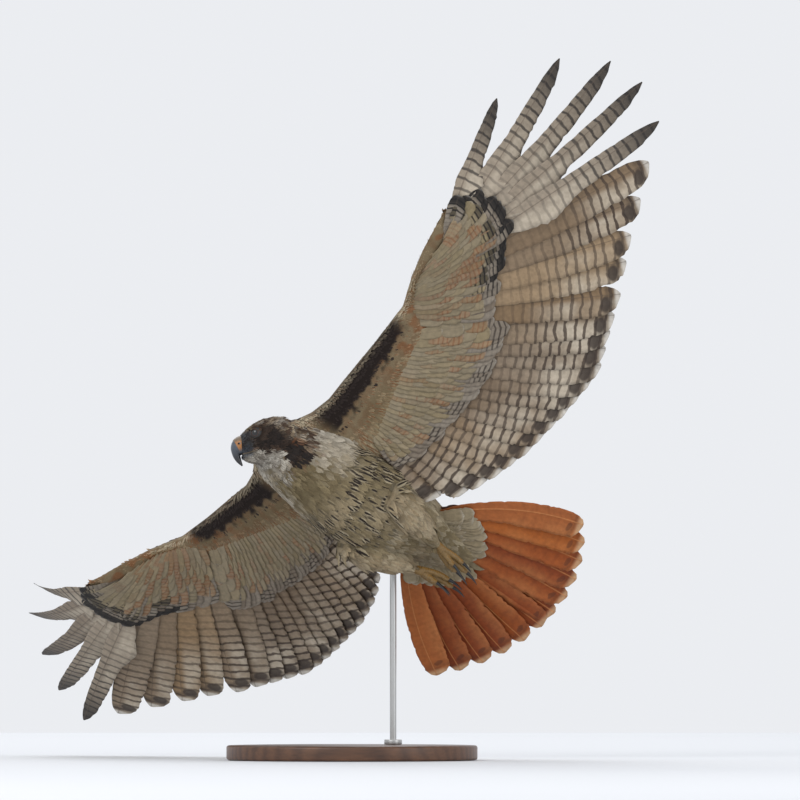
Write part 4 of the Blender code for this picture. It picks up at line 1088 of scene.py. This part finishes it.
# bare parts: eyes, lids, cere, bill, feet, claws
def refined(rows, count):
    # more rows, on a smooth curve through the given ones
    table = np.array(rows, float)
    spots = np.linspace(0, len(table) - 1, count)
    low = np.clip(spots.astype(int), 0, len(table) - 2)
    f = (spots - low)[:, None]
    a, b = table[low], table[low + 1]
    before, after = table[np.maximum(low - 1, 0)], table[np.minimum(low + 2, len(table) - 1)]
    smoothed = 0.5 * (2 * a + (b - before) * f + (2 * before - 5 * a + 4 * b - after) * f ** 2
                      + (3 * a - before - 3 * b + after) * f ** 3)
    smoothed[:, 3:5] = np.maximum(smoothed[:, 3:5], 0.02)
    return smoothed.tolist()


def bareFinish(name, roughness, scale, strength, coat=0.0, low=0.8, high=1.15):
    # horn or scaly skin: the piece's own tint with fine mottling and a fine relief
    made, tree, shader = newMaterial(name, {"Roughness": roughness, "IOR": 1.54, "Coat Weight": coat,
                                            "Coat Roughness": 0.08})
    plain = addNode(tree, "Attribute", {"attribute_name": "plain"})
    place = addNode(tree, "TexCoord", {}).outputs["Object"]
    noise = addNode(tree, "TexNoise", {"Scale": scale, "Detail": 4.0, "Vector": place})
    mottle(tree, shader, plain, noise, low, high)
    bump = addNode(tree, "Bump", {"Strength": strength, "Distance": 0.0002, "Height": noise})
    setNode(tree, shader, {"Normal": bump})
    return made

def paint(mesh, tints):
    tints = np.broadcast_to(tints, (len(mesh.vertices), 3))
    layer = mesh.attributes.new("plain", "FLOAT_COLOR", "POINT")
    layer.data.foreach_set("color", np.column_stack([tints, np.ones(len(tints))]).astype(np.float32).ravel())

def finishBare(obj, name, tints, material, matrix, nodes=(), angle=50):
    obj.name = name
    paint(obj.data, tints)
    intoPlace(obj, matrix)
    smooth(obj, angle)
    dress(obj, material, nodes)
    print(name, len(obj.data.polygons), "faces")

hornFinish = bareFinish("bill horn", 0.34, 420.0, 0.10, 0.25)
clawFinish = bareFinish("claw horn", 0.40, 420.0, 0.08, 0.12)
cereFinish = bareFinish("waxy cere", 0.48, 900.0, 0.25, 0.10)
lidFinish = bareFinish("eyelid skin", 0.60, 1500.0, 0.6)
scaleFinish = bareFinish("foot scales", 0.58, 1100.0, 0.55, 0.05, 0.62, 1.2)
bristleFinish = bareFinish("lore bristles", 0.55, 300.0, 0.05)

bill = {
    # from the face to the tip: x, height, half width, half depth, tilt
    "upper": ((2.75, 0.18, 1.25, 1.35, 0), (3.45, 0.30, 1.05, 1.15, 0), (3.92, 0.12, 0.88, 1.02, 14),
              (4.15, -0.18, 0.70, 0.78, 35), (4.20, -0.60, 0.50, 0.54, 62), (4.15, -1.10, 0.34, 0.42, 85),
              (4.00, -1.65, 0.20, 0.28, 105), (3.78, -2.20, 0.06, 0.09, 115)),
    "lower": ((2.1, -1.22, 1.02, 0.30, 0), (2.9, -1.24, 0.92, 0.30, 0), (3.45, -1.24, 0.76, 0.27, 0),
              (3.58, -1.22, 0.50, 0.20, 0), (3.66, -1.20, 0.22, 0.10, 0)),
    "cere": ((2.95, 0.30, 1.18, 1.26, 0), (3.45, 0.33, 1.09, 1.17, 2), (3.78, 0.24, 0.99, 1.09, 9),
             (3.93, 0.16, 0.91, 1.03, 14)),
    "gapeLine": ((3.50, -0.98), (3.1, -1.03), (2.6, -1.08), (2.1, -1.14), (1.72, -1.24)),  # x, height
    # nostrils: place and size of the scoop
    "hornNostril": ((3.72, 0.98, 0.40), (0.20, 0.24, 0.13)),
    "cereNostril": ((3.62, 1.02, 0.42), (0.21, 0.26, 0.14)),
    "slate": "#454c55", "horn": "#151518", "yellow": "#a0682e", "cereTop": "#6f5f4b", "gape": "#4f4330",
}

def headSide(x, z):
    # half width of the head at x and height z
    height, wide, deep = along(headRows, x)
    return wide * math.sqrt(max(0.05, 1 - ((z - height) / deep) ** 2))

def boreNostrils(obj, place, sizes):
    # scoops an egg-shaped hollow out of each side, then drops the scoop
    x, y, z = place
    for side in sides.values():
        deselect()
        bpy.ops.mesh.primitive_uv_sphere_add(segments=24, ring_count=14, radius=1)
        scoop = bpy.context.object
        scoop.data.transform(Matrix.Translation((x, side * y, z)) @ Matrix.Diagonal((*sizes, 1)))
        applyModifier(obj, "BOOLEAN", operation="DIFFERENCE", object=scoop, solver="EXACT")
        bpy.data.objects.remove(scoop, do_unlink=True)

def billForm(name, rows, count, around):
    return sweptForm(name, refined([(x, 0, *rest) for x, *rest in rows], count), around)

def makeBill():
    place = toWorld @ headToBird
    slate, horn = linear(bill["slate"]), linear(bill["horn"])
    upper = billForm("bill", bill["upper"], 44, 32)
    boreNostrils(upper, *bill["hornNostril"])
    height = readVectors(upper.data.vertices, "co")[:, 2]
    finishBare(upper, "bill_upper_horn", mix(slate, horn, ramp(0.6 - height, 0.2, 2.2)), hornFinish,
               place, ["bill_upper"], 60)
    lower = billForm("billLower", bill["lower"], 20, 28)
    onward = readVectors(lower.data.vertices, "co")[:, 0]
    finishBare(lower, "bill_lower_horn", mix(slate, horn, ramp(onward, 2.6, 3.6)), hornFinish,
               place, ["bill_lower"], 60)
    cere = billForm("cere", bill["cere"], 14, 40)
    boreNostrils(cere, *bill["cereNostril"])
    height = readVectors(cere.data.vertices, "co")[:, 2]
    tint = mix(linear(bill["yellow"]), slate, ramp(-height, 0.0, 0.6))
    tint = mix(tint, linear(bill["cereTop"]), ramp(height, 0.60, 0.95))
    finishBare(cere, "cere", tint, cereFinish, place, (), 60)
    # corner of the mouth: a fold of bare skin that runs along the gape
    for label, side in sides.items():
        rows = [(x, side * (headSide(x, z) - 0.03), z, 0.075, 0.065, 0) for x, z in bill["gapeLine"]]
        gape = sweptForm("gape", refined(rows, 16), 10)
        finishBare(gape, "gape_" + label, linear(bill["gape"]), lidFinish, place)

eye = {
    "gaze": (0.40, 0.915, 0.03),  # outwards and a little forwards
    # deep brown iris round a black pupil, by share of the ball from back to front
    "ring": ((0.0, "#0e0b0a"), (0.66, "#0e0b0a"), (0.70, "#1c0d06"), (0.79, "#3d1d0c"), (0.83, "#2a1308"),
             (0.845, "#040303")),
    "lid": "#2a2725", "lidGap": 0.055, "lidThick": 0.05,
    "opening": 41, "almond": 0.14, "shellEdge": 80,  # in degrees from the gaze, and how narrow its corners are
}

def eyeFrame(side):
    x, y, z = eyePlace
    ahead, out, up = eye["gaze"]
    gaze = Vector((ahead, side * out, up)).normalized()
    place = toWorld @ headToBird @ Matrix.Translation((x, side * y, z))
    return place @ gaze.to_track_quat("Z", "X").to_matrix().to_4x4()

def openLids(mesh):
    # cuts an almond opening in front, and drops the back of the shell
    shell = bmesh.new()
    shell.from_mesh(mesh)
    goners = []
    for face in shell.faces:
        spot = face.calc_center_median()
        polar = math.degrees(math.atan2(math.hypot(spot.x, spot.y), spot.z))
        around = math.atan2(spot.y, spot.x)
        if polar < eye["opening"] * (1 - eye["almond"] * abs(math.cos(around))) or polar > eye["shellEdge"]:
            goners.append(face)
    bmesh.ops.delete(shell, geom=goners, context="FACES")
    shell.to_mesh(mesh)
    shell.free()

def makeEyes():
    # glass eye, polished, under a clear cornea
    made, tree, shader = newMaterial("glass eye", {"Roughness": 0.25, "Coat Weight": 1.0, "Coat Roughness": 0.02,
                                                   "Specular IOR Level": 0.2})
    uv = addNode(tree, "UVMap", {"uv_map": "UVMap"})
    split = addNode(tree, "SeparateXYZ", {0: uv})
    ring = addNode(tree, "ValToRGB", {0: split.outputs[1],
                                      "stops": [(at, rgba(tint)) for at, tint in eye["ring"]]})
    streaks = addNode(tree, "TexNoise", {"Scale": 30.0, "Detail": 2.0, "Vector": uv})
    mottle(tree, shader, ring, streaks, 0.8, 1.2)
    for label, side in sides.items():
        deselect()
        bpy.ops.mesh.primitive_uv_sphere_add(segments=48, ring_count=32, radius=eyeRadius - 0.01)
        finishBare(bpy.context.object, "eyeball_" + label, linear(eye["ring"][0][1]), made, eyeFrame(side),
                   ["eye_" + label], 180)
        deselect()
        bpy.ops.mesh.primitive_uv_sphere_add(segments=56, ring_count=44, radius=eyeRadius + eye["lidGap"])
        lids = bpy.context.object
        openLids(lids.data)
        applyModifier(lids, "SOLIDIFY", thickness=eye["lidThick"], offset=-1)
        applyModifier(lids, "SUBSURF", levels=1)
        finishBare(lids, "eyelids_" + label, linear(eye["lid"]), lidFinish, eyeFrame(side))

bristles = {"count": 90, "x": (2.0, 3.25), "z": (-0.75, 1.0), "length": (0.30, 0.60), "root": 0.018, "tip": 0.003,
            "tint": "#26221f"}

def makeBristles():
    # short dark bristles over the lores, each a thin cone of three sides
    deselect()
    bpy.ops.mesh.primitive_cone_add(vertices=3, radius1=bristles["root"], radius2=bristles["tip"], depth=1)
    pattern = bpy.context.object
    pattern.data.transform(Matrix.Translation((0, 0, 0.5)))
    copies = []
    for side in sides.values():
        for i in range(bristles["count"]):
            x, z = dice.uniform(*bristles["x"]), dice.uniform(*bristles["z"])
            ahead, out, up = 0.75 + 0.3 * dice.random(), 0.45 + 0.3 * dice.random(), 0.5 * (dice.random() - 0.6)
            way = Vector((ahead, side * out, up)).normalized()
            copy = pattern.copy()
            copy.data = pattern.data.copy()
            bpy.context.scene.collection.objects.link(copy)
            place = Matrix.Translation((x, side * (headSide(x, z) - 0.10), z))
            size = Matrix.Diagonal((1, 1, dice.uniform(*bristles["length"]), 1))
            copy.data.transform(place @ way.to_track_quat("Z", "X").to_matrix().to_4x4() @ size)
            copies.append(copy)
    bpy.data.objects.remove(pattern, do_unlink=True)
    pick(*copies)
    bpy.ops.object.join()
    finishBare(bpy.context.object, "bristles", linear(bristles["tint"]), bristleFinish,
               toWorld @ headToBird)

# feet: toes closed behind the tucked leg, with ringed scales above and pads below
toes = {
    # side step, drop, length, radius, claw length
    "inner": (-0.62, -0.10, 3.7, 0.40, 2.0), "middle": (0.0, 0.05, 4.8, 0.40, 1.8),
    "outer": (0.60, -0.05, 3.6, 0.36, 1.5), "back": (0.05, -0.80, 2.5, 0.38, 2.1),
}
footPlan = {"voxel": 0.05, "scute": 0.26, "yellow": "#8f6a2c", "groove": "#5b431f", "sole": "#6f5a35",
            "claw": "#141315"}
# share of the claw's length, radius as a share of the toe's
clawRows = ((0, 0.62), (0.08, 0.60), (0.4, 0.46), (0.75, 0.28), (1.0, 0.07))


def toePoint(side, spread, drop, distance):
    ends = [Vector((x, y * side, z)) for x, y, z, r in legRows[-2:]]
    ahead = (ends[1] - ends[0]).normalized()
    share = distance / 5
    back = (ahead + Vector((-share, 0, 0))).normalized()
    across = Vector((0, side, 0)) * (spread * (0.45 + 0.8 * math.sin(min(1, share) * math.pi * 0.8)))
    fall = Vector((0, 0, drop * min(1, share * 2) - 0.5 * share * share))
    return ends[1] + ahead + back * distance + across + fall, ends[1], ahead


def leaning(rows):
    # tilts each ring so that it stands across its path
    table = np.array(rows, float)
    way = np.gradient(table[:, :3], axis=0)
    table[:, 5] = -np.degrees(np.arctan2(-way[:, 2], -way[:, 0]))
    return table.tolist()


def makeFoot(label, side):
    parts = []
    end, start, ahead = toePoint(side, 0, 0, 0)
    shank = []
    for d in np.arange(-0.9, 1.6, 0.07):
        spot = start + ahead * d
        ridge = 1 + 0.035 * math.sin(d * 2 * math.pi / 0.28)
        size = float(np.interp(d, (-0.9, 0.03, 0.75, 1.5), (0.5, 0.55, 0.58, 0.62))) * ridge
        shank.append((spot.x, spot.y, spot.z, size, size, 0))
    parts.append(sweptForm("shank", leaning(shank), 24))
    for name, (spread, drop, length, thick, claw) in toes.items():
        rows = []
        for d in np.arange(0, length + 0.01, 0.055):
            spot = toePoint(side, spread, drop, d)[0]
            share = d / length
            size = thick * float(np.interp(share, (0, 0.3, 0.6, 0.93, 1), (1.0, 0.86, 0.98, 0.74, 0.5)))
            size *= 1 + 0.05 * math.sin(d * 2 * math.pi / 0.26) + 0.07 * math.exp(-((share - 0.35) / 0.07) ** 2)
            rows.append((spot.x, spot.y, spot.z, size, size * 1.02, 0))
        parts.append(sweptForm("toe", leaning(rows), 18))
        for share in (0.22, 0.55, 0.86):
            spot = toePoint(side, spread, drop, length * share)[0]
            deselect()
            bpy.ops.mesh.primitive_uv_sphere_add(segments=14, ring_count=9, radius=1,
                                                 location=(spot.x, spot.y, spot.z - thick * 0.55))
            pad = bpy.context.object
            pad.scale = (thick * 0.95, thick * 0.72, thick * 0.58)
            bpy.ops.object.transform_apply(location=True, rotation=True, scale=True)
            parts.append(pad)
        tip = toePoint(side, spread, drop, length)[0]
        before = toePoint(side, spread, drop, length * 0.6)[0]
        onward = (tip - before).normalized()
        rows = []
        for s in np.linspace(-0.14, 1, 24):
            bend = max(0, s - 0.08)
            spot = tip + onward * (0.03 + claw * s) + Vector((0.11, 0, -0.44)) * (claw * bend * bend)
            size = thick * float(np.interp(s, *np.transpose(clawRows)))
            size *= 0.80 if s < 0 else 1.0
            rows.append((spot.x, spot.y, spot.z, size * 0.92, size, 0))
        horn = sweptForm("claw", leaning(rows), 16)
        finishBare(horn, "clawHorn_%s_%s" % (label, name), linear(footPlan["claw"]), clawFinish,
                   toWorld,
                   ["claw_%s_%s" % (label, name)], 60)
    pick(*parts)
    bpy.ops.object.join()
    foot = bpy.context.object
    applyModifier(foot, "REMESH", mode="VOXEL", voxel_size=footPlan["voxel"])
    applyModifier(foot, "SMOOTH", factor=0.5, iterations=1)
    spots, normals = readVectors(foot.data.vertices, "co"), readVectors(foot.data.vertices, "normal")
    rings = 0.5 + 0.5 * np.sin(spots[:, 0] * 2 * math.pi / footPlan["scute"])
    tint = mix(linear(footPlan["yellow"]), linear(footPlan["groove"]), 0.45 * rings)
    tint = mix(tint, linear(footPlan["sole"]), 0.6 * ramp(-normals[:, 2], 0.1, 0.7))
    finishBare(foot, "scaledFoot_" + label, tint, scaleFinish, toWorld, ["foot_" + label], 180)


# stand: turned walnut base, brushed steel rod in a collar, all in metres
stand = {
    "base": (0.31, 0.25, 0.018), "bevel": 0.003, "rod": (0.0508, 0.0640), "rodRadius": 0.004, "top": 0.270,
    "gap": 0.0003, "collar": 0.011, "collarHeight": 0.006, "collarBevel": 0.0008,
    "walnut": ("#442b1c", "#5f3f29"), "steel": "#b9b9b7",
}

def walnutFinish():
    # oiled walnut: satin, the grain along X
    made, tree, shader = newMaterial("oiled walnut", {"Roughness": 0.42,
                                                      "Coat Weight": 0.15, "Coat Roughness": 0.3})
    place = addNode(tree, "TexCoord", {}).outputs["Object"]
    stretch = addNode(tree, "Mapping", {"Scale": (3.0, 26.0, 26.0), "Vector": place})
    bend = addNode(tree, "TexNoise", {"Scale": 1.6, "Detail": 3.0, "Vector": stretch})
    pores = addNode(tree, "TexNoise", {"Scale": 16.0, "Detail": 5.0, "Vector": stretch})
    wave = addNode(tree, "TexWave", {"bands_direction": "Y", "Scale": 1.2, "Distortion": 5.0, "Detail": 2.0,
                                     "Vector": stretch})
    share = addNode(tree, "Math", {"operation": "MULTIPLY_ADD", 0: wave.outputs["Fac"], 1: 0.5, 2: bend})
    dark, light = stand["walnut"]
    tone = addNode(tree, "ValToRGB", {0: share, "stops": ((0.35, rgba(dark)), (0.95, rgba(light)))})
    mottle(tree, shader, tone, pores, 0.82, 1.08, (0.35, 0.65))
    bump = addNode(tree, "Bump", {"Strength": 0.12, "Distance": 0.0003, "Height": pores})
    setNode(tree, shader, {"Normal": bump})
    return made

def steelFinish():
    # stainless steel brushed along the rod, so its gloss is streaked
    made, tree, shader = newMaterial("brushed steel", {"Base Color": rgba(stand["steel"]), "Metallic": 1.0})
    place = addNode(tree, "TexCoord", {}).outputs["Object"]
    stretch = addNode(tree, "Mapping", {"Scale": (2600.0, 2600.0, 40.0), "Vector": place})
    brush = addNode(tree, "TexNoise", {"Scale": 1.0, "Detail": 2.0, "Vector": stretch})
    gloss = addNode(tree, "MapRange", {0: brush, 1: 0.3, 2: 0.7, 3: 0.26, 4: 0.42})
    setNode(tree, shader, {"Roughness": gloss})
    return made

def makeStand():
    deselect()
    width, depth, height = stand["base"]
    bpy.ops.mesh.primitive_cylinder_add(vertices=160, radius=0.5, depth=1, location=(0, 0, 0))
    base = bpy.context.object
    base.scale = (width, depth, height)
    bpy.ops.object.transform_apply(location=True, rotation=True, scale=True)
    base.data.transform(Matrix.Translation((0, 0, height / 2)))
    applyModifier(base, "BEVEL", width=stand["bevel"], segments=5, limit_method="ANGLE")
    finishBare(base, "walnutBase", linear(stand["walnut"][0]), walnutFinish(), Matrix.Identity(4),
               ["stand_base"], 40)
    x, y = stand["rod"]
    bottom = height + stand["gap"]
    deselect()
    bpy.ops.mesh.primitive_cylinder_add(vertices=48, radius=stand["rodRadius"], depth=stand["top"] - bottom,
                                        location=(x, y, (stand["top"] + bottom) / 2))
    rod = bpy.context.object
    bpy.ops.object.transform_apply(location=True, rotation=True, scale=True)
    deselect()
    bpy.ops.mesh.primitive_cylinder_add(vertices=64, radius=stand["collar"], depth=stand["collarHeight"],
                                        location=(x, y, bottom + stand["collarHeight"] / 2))
    collar = bpy.context.object
    bpy.ops.object.transform_apply(location=True, rotation=True, scale=True)
    applyModifier(collar, "BEVEL", width=stand["collarBevel"], segments=3, limit_method="ANGLE")
    pick(rod, collar)
    bpy.ops.object.join()
    finishBare(rod, "steelRod", linear(stand["steel"]), steelFinish(), Matrix.Identity(4),
               ["stand_rod"], 40)

makeBill()
makeEyes()
makeBristles()
for label, side in sides.items():
    makeFoot(label, side)
makeStand()
makeCoats()
for label, side in sides.items():
    makeFlightFeathers(label, side)
    makeCoverts(label, side)
makeTail()


# skin's own finish carries the same markings
def finishSkin():
    points, normals = readVectors(skin.data.vertices, "co"), readVectors(skin.data.vertices, "normal")
    tint, mark, strength = markingsAt(points, normals)
    paint(skin.data, mix(tint, mark, strength * 0.5) * 0.8)
    # bird skin: soft and matt under its down
    made, tree, shader = newMaterial("downy skin", {"Roughness": 0.85, "Specular IOR Level": 0.2})
    plain = addNode(tree, "Attribute", {"attribute_name": "plain"})
    place = addNode(tree, "TexCoord", {}).outputs["Object"]
    down = addNode(tree, "TexNoise", {"Scale": 900.0, "Detail": 3.0, "Vector": place})
    mottle(tree, shader, plain, down, 0.75, 1.1)
    bump = addNode(tree, "Bump", {"Strength": 0.4, "Distance": 0.0004, "Height": down})
    setNode(tree, shader, {"Normal": bump})
    skin.name = "skin"
    intoPlace(skin)
    skin.data.polygons.foreach_set("use_smooth", np.ones(len(skin.data.polygons), bool))
    dress(skin, made, ("torso", "neck", "head", "leg_left", "leg_right", "wing_left_arm",
                                        "wing_left_hand", "wing_right_arm", "wing_right_hand", "tail"))
    print("skin finished")

finishSkin()

# stage: pale floor, soft light, the photo's level view from far off
studio = {
    "sky": "#f4f6fa", "skyPower": 0.92, "floor": "#dfe1e4",
    # place, aim, size and power of each lamp
    "lamps": (((-2.2, -3.2, 2.6), (0, 0, 0.45), 2.2, 62), ((2.6, -2.4, 1.2), (0, 0, 0.4), 2.0, 20),
              ((-0.5, 2.5, 2.8), (0, 0, 0.45), 2.0, 30)),
    "aside": 0.0593, "away": 30, "height": 0.4444, "sensor": 36, "width": 0.98765,  # camera, and the width it sees
}

def makeStage():
    deselect()
    bpy.ops.mesh.primitive_plane_add(size=1, location=(0, 0, -0.0005))
    floor = bpy.context.object
    floor.name = "floor"
    floor.data.transform(Matrix.Translation((0, -2.75, 0)) @ Matrix.Diagonal((12, 10.5, 1, 1)))
    made = newMaterial("matt paper floor", {"Base Color": rgba(studio["floor"]), "Roughness": 0.9})[0]
    floor.data.materials.append(made)
    world = bpy.data.worlds.new("studio")
    bpy.context.scene.world = world
    world.use_nodes = True
    setNode(world.node_tree, world.node_tree.nodes["Background"], {0: rgba(studio["sky"]), 1: studio["skyPower"]})
    for place, aim, size, power in studio["lamps"]:
        deselect()
        bpy.ops.object.light_add(type="AREA", location=place)
        lamp = bpy.context.object
        lamp.data.size = size
        lamp.data.energy = power
        lamp.rotation_euler = (Vector(aim) - Vector(place)).to_track_quat("-Z", "Y").to_euler()
    deselect()
    bpy.ops.object.camera_add(location=(studio["aside"], -studio["away"], studio["height"]),
                              rotation=(math.pi / 2, 0, 0))
    camera = bpy.context.object
    camera.data.sensor_width = studio["sensor"]
    camera.data.lens = studio["sensor"] * studio["away"] / studio["width"]
    camera.data.clip_start = 1
    camera.data.clip_end = 200
    bpy.context.scene.camera = camera
    bpy.context.scene.view_settings.view_transform = "Standard"
    print("studio set")

makeStage()
